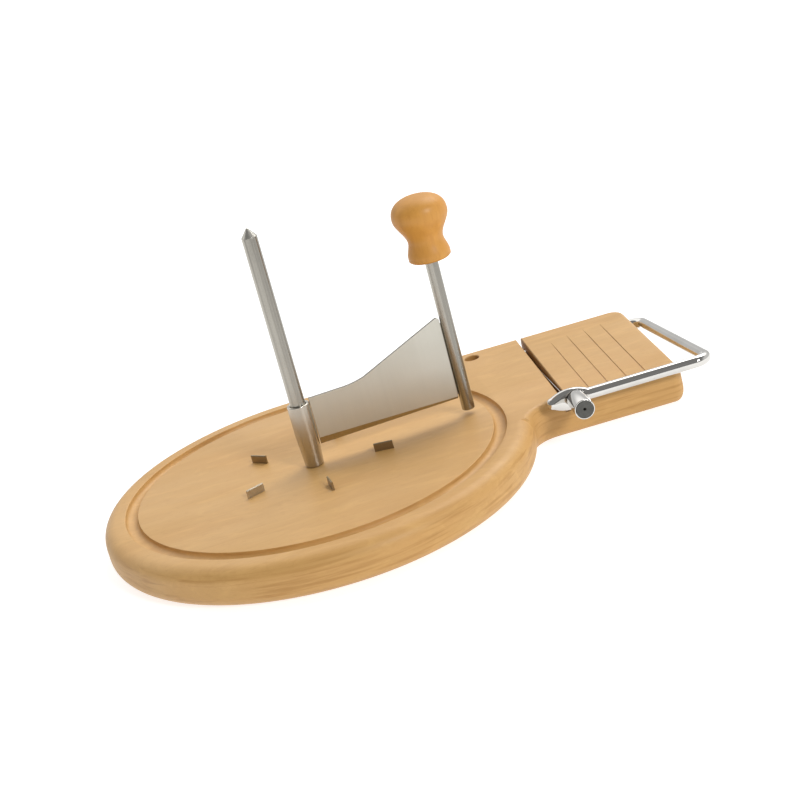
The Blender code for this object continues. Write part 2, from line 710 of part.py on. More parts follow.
def make_tension_stud():
    """The screw fixed in the lug."""
    mesh_data = bmesh.new()
    back = LUG_HALF_THICKNESS
    front = ARM_Y - STUD_END_Y
    chamfer = 0.4 * MM
    profile = [(0.0, -back), (STUD_RADIUS - chamfer, -back), (STUD_RADIUS, chamfer - back)]
    profile += [(STUD_RADIUS, front - chamfer), (STUD_RADIUS - chamfer, front), (0.0, front)]
    add_lathe(mesh_data, profile, 32, about_stud(ARM_Y))
    stud = add_object("tension_stud", mesh_data, satin_steel("stud_steel"), 35.0)
    set_origin(stud, (STUD_X, PIVOT_Y, PIVOT_Z))


def make_tension_washer():
    """The washer that clamps the wire's tail against the lug."""
    mesh_data = bmesh.new()
    bore = STUD_RADIUS + RUN_GAP
    thick = WASHER_Y0 - WASHER_Y1
    profile = [(bore, 0.0), (WASHER_RADIUS, 0.0), (WASHER_RADIUS, thick), (bore, thick)]
    add_lathe(mesh_data, profile, 40, about_stud(WASHER_Y0))
    washer = add_object("tension_washer", mesh_data, chrome("washer_chrome"), 35.0)
    set_origin(washer, (STUD_X, WASHER_Y0, ARM_Z))


def make_tension_nut():
    """The round thumb nut, with a recess for its end cap."""
    mesh_data = bmesh.new()
    bore = STUD_RADIUS + RUN_GAP
    length = NUT_Y0 - NUT_Y1
    depth = NUT_Y0 - STUD_END_Y + 0.8 * MM
    chamfer = 0.5 * MM
    seat = CAP_RADIUS + PRESS_GAP
    profile = [(bore, 0.0), (NUT_RADIUS - chamfer, 0.0), (NUT_RADIUS, chamfer)]
    profile += [(NUT_RADIUS, length - chamfer), (NUT_RADIUS - 0.4 * MM, length)]
    profile += [(seat, length), (seat, length - CAP_RECESS)]
    profile += [(bore, length - CAP_RECESS), (bore, depth)]
    add_lathe(mesh_data, profile, 40, about_stud(NUT_Y0))
    nut = add_object("tension_nut", mesh_data, chrome("nut_chrome"), 35.0)
    set_origin(nut, (STUD_X, NUT_Y0, ARM_Z))


def make_tension_cap():
    """The dark end cap with its small centre hole."""
    mesh_data = bmesh.new()
    hole = 0.7 * MM
    start = NUT_Y1 + CAP_RECESS - JOINT_GAP
    edge = 0.3 * MM
    profile = [(hole, 0.0), (CAP_RADIUS, 0.0), (CAP_RADIUS, CAP_THICKNESS - edge)]
    profile += [(CAP_RADIUS - edge, CAP_THICKNESS), (hole, CAP_THICKNESS)]
    add_lathe(mesh_data, profile, 40, about_stud(start))
    cap = add_object("tension_cap", mesh_data, dark_plastic("cap_plastic"), 35.0)
    set_origin(cap, (STUD_X, start, ARM_Z))


def build():
    """Make every sub-part."""
    clear_scene()
    make_board()
    make_spindle()
    make_hub_collar()
    make_scraper_hub()
    make_scraper_blade()
    make_scraper_post()
    make_knob()
    make_knob_insert()
    for number, angle in enumerate(SPIKE_ANGLES, start=1):
        make_anchor_spike(number, angle)
    make_bow_rod()
    make_bow_lug()
    make_cutting_wire()
    make_wire_ferrule()
    make_tension_stud()
    make_tension_washer()
    make_tension_nut()
    make_tension_cap()


build()
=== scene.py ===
"""Looks of the cheese wire cutter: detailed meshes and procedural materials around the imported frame.

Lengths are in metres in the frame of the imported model: +Z up, the origin under the spindle.
"""

import math

import bmesh
import bpy
from mathutils import Matrix, Vector


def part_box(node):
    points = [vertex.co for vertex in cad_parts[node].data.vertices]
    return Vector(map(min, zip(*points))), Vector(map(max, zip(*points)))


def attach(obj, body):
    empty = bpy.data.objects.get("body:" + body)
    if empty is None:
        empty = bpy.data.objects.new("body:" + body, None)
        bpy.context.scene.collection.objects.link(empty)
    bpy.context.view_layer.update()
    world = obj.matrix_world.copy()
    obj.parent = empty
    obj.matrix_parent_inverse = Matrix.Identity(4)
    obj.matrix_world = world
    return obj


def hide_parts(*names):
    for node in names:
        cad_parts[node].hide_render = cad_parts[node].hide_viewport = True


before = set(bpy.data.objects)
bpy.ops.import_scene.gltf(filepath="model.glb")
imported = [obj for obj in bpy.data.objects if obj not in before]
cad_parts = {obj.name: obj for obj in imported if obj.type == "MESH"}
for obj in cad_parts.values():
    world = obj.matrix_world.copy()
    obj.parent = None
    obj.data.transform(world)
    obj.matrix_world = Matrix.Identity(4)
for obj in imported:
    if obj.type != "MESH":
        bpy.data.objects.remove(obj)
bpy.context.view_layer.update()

MM = 0.001

# Sizes read from the frame
BOARD_LOW, BOARD_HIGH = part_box("board")
SPINDLE_LOW, SPINDLE_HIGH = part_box("spindle")
COLLAR_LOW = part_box("hub_collar")[0]
HUB_LOW, HUB_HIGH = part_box("scraper_hub")
POST_LOW, POST_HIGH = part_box("scraper_post")
KNOB_LOW, KNOB_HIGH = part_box("knob")
ROD_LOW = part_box("bow_rod")[0]
LUG_LOW, LUG_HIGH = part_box("bow_lug")
NUT_LOW, NUT_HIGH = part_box("tension_nut")
CAP_LOW, CAP_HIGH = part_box("tension_cap")
TOP = BOARD_HIGH.z
DISC_RADIUS = -BOARD_LOW.x
TAB_END = BOARD_HIGH.x
SPINDLE_RADIUS = SPINDLE_HIGH.x
HUB_RADIUS = HUB_HIGH.x
HUB_TAPER_Z = 37.0 * MM
HUB_FOOT_RADIUS = 4.7 * MM
POST_CENTRE = 0.5 * (POST_LOW + POST_HIGH)
POST_RADIUS = 0.5 * (POST_HIGH.x - POST_LOW.x)
KNOB_RADIUS = 0.5 * (KNOB_HIGH.x - KNOB_LOW.x)
STUD_X = 0.5 * (NUT_LOW.x + NUT_HIGH.x)
STUD_Z = 0.5 * (NUT_LOW.z + NUT_HIGH.z)
NUT_RADIUS = 0.5 * (NUT_HIGH.x - NUT_LOW.x)
CAP_RADIUS = 0.5 * (CAP_HIGH.x - CAP_LOW.x)
ARM_Y = 0.5 * (LUG_LOW.y + LUG_HIGH.y)

# Board sizes that the frame's boxes don't give
EDGE_ROUND = 7.5 * MM
TAB_ROUND_SHARE = 0.55
TAB_NEAR_Y = -10.0 * MM
TAB_FAR_Y = 102.0 * MM
TAB_NEAR_CORNER_RADIUS = 6.0 * MM
TAB_FAR_CORNER_RADIUS = 9.0 * MM
NEAR_FILLET_RADIUS = 14.0 * MM
FAR_FILLET_RADIUS = 30.0 * MM
GROOVE_INNER_RADIUS = 91.4 * MM
GROOVE_OUTER_RADIUS = 97.8 * MM
GROOVE_DEPTH = 3.2 * MM
GROOVE_LIP = 0.3 * MM
HANG_HOLE = Vector((99.5 * MM, 89.5 * MM, 0.0))
HANG_HOLE_RADIUS = 4.0 * MM
SLOT_X0 = 127.1 * MM
SLOT_X1 = 129.8 * MM
SLOT_NEAR_FLOOR_Z = 12.8 * MM
SLOT_FAR_FLOOR_Z = 6.4 * MM
GAUGE_FIRST_X = 142.1 * MM
GAUGE_PITCH = 9.95 * MM
GAUGE_WIDTH = 0.75 * MM
GAUGE_DEPTH = 0.4 * MM
GAUGE_ENDS_Y = (76.5 * MM, 81.0 * MM, 83.0 * MM, 84.0 * MM)
GAUGE_RUN_OUT = 14.0 * MM
GAUGE_END_SHARE = 0.08
SPIKE_ANGLES = (63.0, 137.5, 208.0, 277.0, 348.0)
SPIKE_RADIUS = 35.8 * MM
SPIKE_LENGTH = 9.6 * MM
SPIKE_THICKNESS = 1.0 * MM
SPIKE_FOOT_Z = 14.6 * MM
# How far a cutting shape stands out of the wood that it cuts
OVER = 1.0 * MM

# Scraper and bow sizes that the frame's boxes don't give
SPINDLE_CONE = 4.3 * MM
SCRAPER_ANGLE = math.atan2(POST_CENTRE.y, POST_CENTRE.x)
BLADE_THICKNESS = 1.5 * MM
BLADE_START = 5.9 * MM
BLADE_END = 79.1 * MM
# End of the thin dark strip that paints the shadow line at the blade's joint with the post
SHADOW_STRIP_END = 80.2 * MM
BLADE_EDGE_Z = 29.2 * MM
BEVEL_HUB_Z = 33.0 * MM
BEVEL_POST_Z = 30.6 * MM
BLADE_SHOULDER_Z = 54.4 * MM
BLADE_SHOULDER_S = 30.0 * MM
BLADE_SHOULDER_ROUND = 5.0 * MM
BLADE_SHOULDER_RISE = 1.6 * MM
BLADE_SHOULDER_RUN = 2.4
BLADE_APEX_Z = 73.4 * MM
BLADE_APEX_RADIUS = 1.6 * MM
BLADE_APEX_S = 79.1 * MM
KNOB_FOOT_RADIUS = 10.6 * MM
KNOB_NECK_RADIUS = 8.9 * MM
KNOB_FOOT_ROUND = 1.1 * MM
KNOB_SEAT_RADIUS = 5.1 * MM
KNOB_SEAT_DEPTH = 12.4 * MM
# Shares of the knob's height: where the foot's edge and flare end, the neck and the widest point
KNOB_FOOT_EDGE = 0.035
KNOB_FLARE = 0.08
KNOB_NECK = 0.31
KNOB_BELLY = 0.7
CROWN_POWER = 2.4
ROD_RADIUS = 3.0 * MM
LEG_CHAMFER = 0.5 * MM
LEG_TIP_SIZE = 0.82
PIVOT = Vector((195.8 * MM, 89.0 * MM, 13.0 * MM))
NEAR_CORNER = Vector((202.55 * MM, ARM_Y, STUD_Z))
BEND_RADIUS = 7.0 * MM
EYE_HALF_THICKNESS = 2.0 * MM
EYE_NECK = 6.0 * MM
# Shares of the eye's length: its flattest place, how far the flat reaches from it, and the round tip
EYE_MIDDLE = 0.52
EYE_REACH = 0.42
EYE_TIP = 0.1
EYE_TIP_ROUNDING = 0.85
EYE_SQUARENESS = 0.45
WIRE_X = 128.6 * MM
WIRE_HOLE_RADIUS = 0.5 * MM
STUD_RADIUS = 2.0 * MM

# Camera: where it stands about its target, and how it is rolled
CAMERA_TARGET = Vector((53.443 * MM, 62.152 * MM, 18.0 * MM))
CAMERA_AZIMUTH = math.radians(-3.821)
CAMERA_ELEVATION = math.radians(19.539)
CAMERA_ROLL = math.radians(-15.043)
CAMERA_DISTANCE = 927.36 * MM
CAMERA_LENS = 78.07
CAMERA_SENSOR = 36.0

# Steps round the disc, turned pieces, the bow and the holes, and the placement that changes nothing
DISC_STEPS = 300
TURNED_STEPS = 96
HOLE_STEPS = 48
BOW_STEPS = 48
STUD_HOLE_STEPS = 40
WIRE_HOLE_STEPS = 20
UPRIGHT = Matrix.Identity(4)

# Colours of the wood: BLUSH tints it towards pink
BEECH_LIGHT = (0.562, 0.333, 0.120)
BEECH_DARK = (0.524, 0.302, 0.100)
BEECH_FLECK = (0.38, 0.19, 0.05)
KNOB_LIGHT = (0.585, 0.285, 0.056)
KNOB_DARK = (0.530, 0.245, 0.044)
KNOB_FLECK = (0.42, 0.17, 0.03)
BLUSH = (0.97, 0.90, 0.86)

# Wood patterns in waves per metre on each axis, by the axis of the grain. The board's layers lie flat.
STREAK_SCALES = {"X": (24.0, 60.0, 620.0), "Z": (380.0, 380.0, 30.0)}
RAY_SCALES = {"X": (260.0, 600.0, 1700.0), "Z": (1700.0, 1700.0, 260.0)}
RING_WAVER = 7.0 * MM

# Colours of the metals and the plastic
STEEL_WARM = (0.50, 0.465, 0.405)
STEEL_BAR = (0.41, 0.39, 0.345)
STEEL_POINT = (0.52, 0.50, 0.45)
BLADE_STEEL = (0.56, 0.545, 0.485)
GROUND_STEEL = (0.40, 0.34, 0.24)
EDGE_AND_SHADOW_STEEL = (0.20, 0.185, 0.155)
# Fins: brownish steel with each fin's reflection of the wood at its angle painted in, dark, pale or between
FIN_DARK_REFLECTION = (0.34, 0.265, 0.165)
FIN_PALE_REFLECTION = (0.52, 0.45, 0.34)
FIN_MID_REFLECTION = (0.44, 0.37, 0.27)
FIN_REFLECTION_COLORS = (FIN_MID_REFLECTION, FIN_DARK_REFLECTION, FIN_PALE_REFLECTION, FIN_DARK_REFLECTION, FIN_DARK_REFLECTION)
WIRE_STEEL = (0.66, 0.65, 0.63)
STUD_STEEL = (0.58, 0.57, 0.55)
BRASS = (0.70, 0.50, 0.22)
CHROME_CLEAN = (0.64, 0.625, 0.595)
CHROME_SMUDGED = (0.56, 0.545, 0.515)
CAP_LIGHT = (0.075, 0.075, 0.066)
CAP_DARK = (0.052, 0.052, 0.046)

# Patterns in the metals and the plastic, in waves per metre on each axis: a low number runs far.
# Turned lines go round Z, drawn and upright ones along Z, the wire's along Y.
TURNED = (30.0, 30.0, 2600.0)
DRAWN = (1500.0, 1500.0, 25.0)
# Broad dark streaks on round bars: partly drawing marks, partly painted reflection stripes
BAR_STREAK_AND_REFLECTION_SCALES = (300.0, 300.0, 2.5)
BRUSHED_UPRIGHT = (420.0, 420.0, 9.0)
GROUND_UPRIGHT = (1800.0, 900.0, 60.0)
EDGE_LINES = (420.0, 420.0, 60.0)
FIN_LINES = (900.0, 900.0, 2600.0)
WIRE_LINES = (4000.0, 200.0, 4000.0)
THREAD_LINES = (900.0, 7000.0, 900.0)
FERRULE_LINES = (900.0, 900.0, 900.0)
HAIRLINES = (120.0, 2500.0, 2500.0)
HAZE = (45.0, 45.0, 45.0)
SMUDGES = (60.0, 60.0, 60.0)
CAP_GRAIN = (1800.0, 1800.0, 1800.0)
CAP_CLOUDS = (300.0, 300.0, 300.0)

# Studio: the floor's grey and glow, the sky by direction, and the two lights
FLOOR_GREY = 0.50
FLOOR_GLOW = 0.75
SKY_FRONT = (0.26, 0.26, 0.26)
SKY_RIGHT = (0.8, 0.8, 0.8)
SKY_HORIZON = 0.70
SKY_HIGH = 1.5
KEY_FROM = (0.5, 0.5, 0.85)
KEY_SPREAD = 35.0
KEY_STRENGTH = 1.3
FILL_FROM = (0.46, -0.75, 0.5)
FILL_SPREAD = 14.0
FILL_STRENGTH = 1.5


# ---------------------------------------------------------------- mesh tools

def new_piece(name, mesh_data, materials, smooth_angle=35.0):
    """Turn a bmesh into a smooth-shaded object in the scene."""
    bmesh.ops.recalc_face_normals(mesh_data, faces=mesh_data.faces[:])
    mesh = bpy.data.meshes.new(name)
    mesh_data.to_mesh(mesh)
    mesh_data.free()
    for material in materials:
        mesh.materials.append(material)
    mesh.shade_smooth()
    mesh.set_sharp_from_angle(angle=math.radians(smooth_angle))
    piece = bpy.data.objects.new(name, mesh)
    bpy.context.scene.collection.objects.link(piece)
    return piece


def stand_in(piece, body, slot, *nodes):
    """Fix a detailed piece to its body, in place of the plain nodes that it stands for."""
    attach(piece, body)
    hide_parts(*nodes)
    return piece


def join_rings(mesh_data, rings):
    """Join neighbouring rings of vertices with quads."""
    for low, high in zip(rings[:-1], rings[1:]):
        for k in range(len(low)):
            j = (k + 1) % len(low)
            mesh_data.faces.new((low[k], low[j], high[j], high[k]))


def skin(mesh_data, rings):
    """Join rings of vertices and close both ends."""
    join_rings(mesh_data, rings)
    mesh_data.faces.new(rings[0])
    mesh_data.faces.new(rings[-1])


def lathe(mesh_data, profile, segments, placement):
    """Turn (radius, height) points about local Z: solid if both ends are on the axis, else a ring."""
    solid = profile[0][0] == 0.0 and profile[-1][0] == 0.0
    rings = []
    for radius, height in (profile[1:-1] if solid else profile):
        ring = []
        for k in range(segments):
            angle = 2.0 * math.pi * k / segments
            point = Vector((radius * math.cos(angle), radius * math.sin(angle), height))
            ring.append(mesh_data.verts.new(placement @ point))
        rings.append(ring)
    if solid:
        skin(mesh_data, rings)
    else:
        join_rings(mesh_data, rings + rings[:1])


def prism(mesh_data, sections):
    """Loft closed (x, z) sections that stand at successive Y: pairs of (y, section)."""
    skin(mesh_data, [[mesh_data.verts.new((x, y, z)) for x, z in section] for y, section in sections])


def block(mesh_data, low, high, placement):
    """A box between two corners."""
    section = [(low[0], low[1]), (high[0], low[1]), (high[0], high[1]), (low[0], high[1])]
    rings = []
    for z in (low[2], high[2]):
        rings.append([mesh_data.verts.new(placement @ Vector((x, y, z))) for x, y in section])
    skin(mesh_data, rings)


def pin(mesh_data, radius, start, end, steps, placement):
    """A plain cylinder between two heights on local Z."""
    lathe(mesh_data, [(0.0, start), (radius, start), (radius, end), (0.0, end)], steps, placement)


def turned_piece(name, profile, materials, smooth_angle, placement=UPRIGHT):
    """A piece turned on a lathe from its (radius, height) profile."""
    mesh_data = bmesh.new()
    lathe(mesh_data, profile, TURNED_STEPS, placement)
    return new_piece(name, mesh_data, materials, smooth_angle)


def carve(piece, mesh_data, material):
    """Subtract a mesh from a piece; the cut faces get the material."""
    cutter = new_piece("cutter", mesh_data, [material])
    modifier = piece.modifiers.new("carve", "BOOLEAN")
    modifier.operation = "DIFFERENCE"
    modifier.solver = "EXACT"
    modifier.material_mode = "TRANSFER"
    modifier.object = cutter
    bake_modifiers(piece)
    bpy.data.objects.remove(cutter, do_unlink=True)


def bake_modifiers(piece):
    """Apply a piece's modifiers to its mesh."""
    bpy.context.view_layer.update()
    graph = bpy.context.evaluated_depsgraph_get()
    mesh = bpy.data.meshes.new_from_object(piece.evaluated_get(graph))
    piece.modifiers.clear()
    old = piece.data
    piece.data = mesh
    bpy.data.meshes.remove(old)
    mesh.name = piece.name


def soften(piece, width, segments=2, angle=40.0):
    """A small bevel on the sharp edges, with smooth shading across it."""
    bevel = piece.modifiers.new("soften", "BEVEL")
    bevel.width = width
    bevel.segments = segments
    bevel.limit_method = "ANGLE"
    bevel.angle_limit = math.radians(angle)
    bevel.harden_normals = True


def arc(centre, radius, start, end, steps):
    """Points of an arc in a plane; the angles are in degrees."""
    points = []
    for k in range(steps + 1):
        angle = math.radians(start + (end - start) * k / steps)
        points.append((centre[0] + radius * math.cos(angle), centre[1] + radius * math.sin(angle)))
    return points


# ---------------------------------------------------------------- materials

def add_node(tree, kind, values=None, **settings):
    """A shader node with its settings and unlinked values."""
    node = tree.nodes.new("ShaderNode" + kind)
    for name, value in settings.items():
        setattr(node, name, value)
    for name, value in (values or {}).items():
        node.inputs[name].default_value = value
    return node


def new_material(name, **values):
    """A Principled material; returns it with its tree and its shader."""
    material = bpy.data.materials.new(name)
    material.use_nodes = True
    tree = material.node_tree
    shader = tree.nodes["Principled BSDF"]
    for key, value in values.items():
        shader.inputs[key.replace("_", " ")].default_value = value
    return material, tree, shader


def stretched(tree, scale):
    """The piece's own coordinates, scaled along each axis."""
    source = add_node(tree, "TexCoord").outputs["Object"]
    mapping = add_node(tree, "Mapping", {"Scale": scale})
    tree.links.new(source, mapping.inputs["Vector"])
    return mapping.outputs["Vector"]


def noise(tree, vector, detail=3.0, roughness=0.5, distortion=0.0):
    """Noise of about unit size in the vector's space."""
    values = {"Scale": 1.0, "Detail": detail, "Roughness": roughness, "Distortion": distortion}
    node = add_node(tree, "TexNoise", values)
    tree.links.new(vector, node.inputs["Vector"])
    return node.outputs["Fac"]


def remap(tree, value, low, high, to_low=0.0, to_high=1.0, smooth=False):
    """Map a range of values to another, clamped."""
    node = add_node(tree, "MapRange", interpolation_type="SMOOTHSTEP" if smooth else "LINEAR")
    for key, number in zip(("From Min", "From Max", "To Min", "To Max"), (low, high, to_low, to_high)):
        node.inputs[key].default_value = number
    tree.links.new(value, node.inputs["Value"])
    return node.outputs["Result"]


def math_node(tree, operation, first, second=None):
    """One Math node; each operand is a socket or a number."""
    node = add_node(tree, "Math", operation=operation)
    for socket, value in zip(node.inputs, (first, second)):
        if value is None:
            continue
        if isinstance(value, (int, float)):
            socket.default_value = value
        else:
            tree.links.new(value, socket)
    return node.outputs[0]


def blend_color(tree, factor, first, second, mode="MIX"):
    """Mix two colours; each is a socket or an RGB triple."""
    node = add_node(tree, "Mix", data_type="RGBA", blend_type=mode)
    for socket, value in zip((node.inputs[0], node.inputs[6], node.inputs[7]), (factor, first, second)):
        if isinstance(value, tuple):
            socket.default_value = (*value, 1.0)
        elif isinstance(value, (int, float)):
            socket.default_value = value
        else:
            tree.links.new(value, socket)
    return node.outputs[2]


def add_bump(tree, shader, height, strength, distance):
    """Bump the shader's normal by a height."""
    node = add_node(tree, "Bump", {"Strength": strength, "Distance": distance})
    tree.links.new(height, node.inputs["Height"])
    before = shader.inputs["Normal"].links
    if before:
        tree.links.new(before[0].from_socket, node.inputs["Normal"])
    tree.links.new(node.outputs["Normal"], shader.inputs["Normal"])


def along_grain(grain, along, across):
    """Scales for a pattern that runs along the grain axis."""
    return (along, across, across) if grain == "X" else (across, across, along)


def ring_edges(tree, source, grain, pith, pitch):
    """Growth rings round a pith beside the piece: 0 in the early wood, 1 at each ring's end."""
    split = add_node(tree, "SeparateXYZ")
    tree.links.new(source.outputs["Object"], split.inputs["Vector"])
    across = ("Y", "Z") if grain == "X" else ("X", "Y")
    waver = noise(tree, stretched(tree, along_grain(grain, 7.0, 22.0)), detail=2.0)
    offset = remap(tree, waver, 0.25, 0.75, -RING_WAVER, RING_WAVER)
    sides = [math_node(tree, "SUBTRACT", split.outputs[axis], place) for axis, place in zip(across, pith)]
    squares = [math_node(tree, "MULTIPLY", side, side) for side in sides]
    radius = math_node(tree, "SQRT", math_node(tree, "ADD", *squares))
    distance = math_node(tree, "ADD", radius, offset)
    ring = math_node(tree, "FRACT", math_node(tree, "DIVIDE", distance, pitch))
    return math_node(tree, "POWER", ring, 2.5)


def scaled(color, factor):
    """A colour made darker or lighter."""
    return tuple(factor * c for c in color)


def wood(name, light, dark, fleck, grain="X", ring_pitch=3.4 * MM, contrast=0.10, pith=(0.03, -0.12),
         roughness=0.46, coat=0.03, shade=1.0, streaks=1.0):
    """Beech: growth rings, short ray flecks, fibres, long streaks on the sides and soft clouds."""
    material, tree, shader = new_material(name, Coat_Weight=coat, Coat_Roughness=0.25,
                                          Specular_IOR_Level=0.35)
    source = add_node(tree, "TexCoord")
    late = ring_edges(tree, source, grain, pith, ring_pitch)
    cloud = noise(tree, stretched(tree, along_grain(grain, 9.0, 34.0)))
    blush = noise(tree, stretched(tree, along_grain(grain, 14.0, 30.0)), detail=2.0, distortion=0.6)
    streak = noise(tree, stretched(tree, STREAK_SCALES[grain]), roughness=0.55, distortion=0.3)
    pale = noise(tree, stretched(tree, along_grain(grain, 42.0, 150.0)), 4.0, 0.62, 0.8)
    fibre = noise(tree, stretched(tree, along_grain(grain, 70.0, 1500.0)), detail=2.0, roughness=0.6)
    rays = noise(tree, stretched(tree, RAY_SCALES[grain]), detail=1.0)
    ray_mask = remap(tree, rays, 0.60, 0.68, smooth=True)
    color = blend_color(tree, remap(tree, cloud, 0.3, 0.7), light, dark)
    tint = blend_color(tree, math_node(tree, "MULTIPLY", late, contrast), color, fleck)
    tint = blend_color(tree, remap(tree, fibre, 0.3, 0.7, 0.0, 0.12), tint, fleck)
    tint = blend_color(tree, math_node(tree, "MULTIPLY", ray_mask, 0.14), tint, fleck)
    rosy_wood = tuple(c * k for c, k in zip(light, BLUSH))
    tint = blend_color(tree, remap(tree, blush, 0.42, 0.72, 0.0, 0.45), tint, rosy_wood)
    tint = blend_color(tree, remap(tree, pale, 0.50, 0.74, 0.0, 0.50), tint, scaled(light, 1.13))
    facing = add_node(tree, "SeparateXYZ")
    tree.links.new(source.outputs["Normal"], facing.inputs["Vector"])
    upright = math_node(tree, "ABSOLUTE", facing.outputs["Z"])
    amount = remap(tree, upright, 0.35, 0.95, 0.72 * streaks, 0.14 * streaks)
    amount = math_node(tree, "MULTIPLY", amount, remap(tree, streak, 0.45, 0.75, smooth=True))
    tint = blend_color(tree, amount, tint, fleck)
    end = math_node(tree, "ABSOLUTE", facing.outputs[grain])
    end = remap(tree, end, 0.55, 1.0, 0.0, 0.08, smooth=True)
    tint = blend_color(tree, end, tint, scaled(fleck, 0.72))
    # A shade other than 1 darkens or lightens the whole wood: painted shade below 1, painted light above 1.
    if shade != 1.0:
        tint = blend_color(tree, 1.0, tint, (shade, shade ** 1.25, shade ** 1.6), "MULTIPLY")
    tree.links.new(tint, shader.inputs["Base Color"])
    rough = math_node(tree, "ADD", remap(tree, cloud, 0.3, 0.7, roughness - 0.06, roughness + 0.06), end)
    tree.links.new(rough, shader.inputs["Roughness"])
    add_bump(tree, shader, fibre, 0.15, 0.04 * MM)
    add_bump(tree, shader, ray_mask, 0.3, -0.03 * MM)
    return material


def steel(name, color, roughness, lines, bump=0.1, round_bar=False, contrast=0.10, streaks=False):
    """Satin steel with fine lines, whose pattern is scaled on each axis by lines.

    A round bar has highlights that the lines stretch, and streaks are broad soft dark ones along Z: partly
    drawing marks, partly painted reflection stripes."""
    material, tree, shader = new_material(name, Metallic=1.0)
    brushed = noise(tree, stretched(tree, lines), roughness=0.65)
    haze = noise(tree, stretched(tree, HAZE))
    tint = blend_color(tree, remap(tree, brushed, 0.3, 0.7), color, scaled(color, 1.0 - contrast))
    tint = blend_color(tree, remap(tree, haze, 0.35, 0.7, 0.0, 0.25), tint, scaled(color, 0.86))
    # Dark streaks along Z: partly the bar's drawing marks, partly painted reflection stripes.
    if streaks:
        broad = noise(tree, stretched(tree, BAR_STREAK_AND_REFLECTION_SCALES), detail=2.0, roughness=0.45)
        amount = remap(tree, broad, 0.42, 0.60, 0.0, 0.75, smooth=True)
        tint = blend_color(tree, amount, tint, scaled(color, 0.55))
    tree.links.new(tint, shader.inputs["Base Color"])
    rough = remap(tree, brushed, 0.3, 0.7, -0.4 * contrast, 0.4 * contrast)
    rough = math_node(tree, "ADD", rough, roughness)
    rough = math_node(tree, "ADD", rough, remap(tree, haze, 0.3, 0.7, -0.02, 0.04))
    tree.links.new(rough, shader.inputs["Roughness"])
    if round_bar:
        shader.inputs["Anisotropic"].default_value = 0.75
        shader.inputs["Anisotropic Rotation"].default_value = 0.25
        tangent = add_node(tree, "Tangent", direction_type="RADIAL", axis="Z")
        tree.links.new(tangent.outputs["Tangent"], shader.inputs["Tangent"])
    add_bump(tree, shader, brushed, bump, 0.01 * MM)
    return material


def drawn_bar(name, color, lines, streaks=True):
    """Smooth round steel with hardly visible lines, and soft broad dark streaks along it: partly drawing
    marks, partly painted reflection stripes.
    """
    return steel(name, color, 0.22, lines, bump=0.004, round_bar=True, contrast=0.03, streaks=streaks)


def chrome(name, roughness=0.07):
    """Bright plating with faint smudges and hairlines."""
    material, tree, shader = new_material(name, Metallic=1.0)
    smudge = noise(tree, stretched(tree, SMUDGES), detail=4.0, roughness=0.6)
    hair = noise(tree, stretched(tree, HAIRLINES), detail=2.0, roughness=0.7)
    rough = remap(tree, smudge, 0.35, 0.75, roughness - 0.03, roughness + 0.05)
    tree.links.new(rough, shader.inputs["Roughness"])
    tint = blend_color(tree, remap(tree, smudge, 0.4, 0.8), CHROME_CLEAN, CHROME_SMUDGED)
    tree.links.new(tint, shader.inputs["Base Color"])
    add_bump(tree, shader, hair, 0.015, 0.01 * MM)
    return material


def dark_cap_plastic():
    """Dark grey moulded plastic with a fine grain."""
    material, tree, shader = new_material("cap_plastic_look")
    grain = noise(tree, stretched(tree, CAP_GRAIN))
    cloud = noise(tree, stretched(tree, CAP_CLOUDS), detail=2.0)
    tint = blend_color(tree, remap(tree, cloud, 0.3, 0.7), CAP_LIGHT, CAP_DARK)
    tree.links.new(tint, shader.inputs["Base Color"])
    tree.links.new(remap(tree, grain, 0.3, 0.7, 0.34, 0.52), shader.inputs["Roughness"])
    add_bump(tree, shader, grain, 0.3, 0.03 * MM)
    return material


def board_wood(name, shade=1.0):
    """The board's beech; a shade below 1 gives a darker copy that paints shade, above 1 a lighter copy that
    paints light.
    """
    return wood(name, BEECH_LIGHT, BEECH_DARK, BEECH_FLECK, shade=shade)


def knob_wood():
    """Varnished beech, more orange, with the grain upright."""
    return wood("knob_beech_look", KNOB_LIGHT, KNOB_DARK, KNOB_FLECK, grain="Z", ring_pitch=2.4 * MM,
                contrast=0.06, pith=(0.07, -0.03), roughness=0.50, coat=0.06, streaks=0.4)


# ---------------------------------------------------------------- board

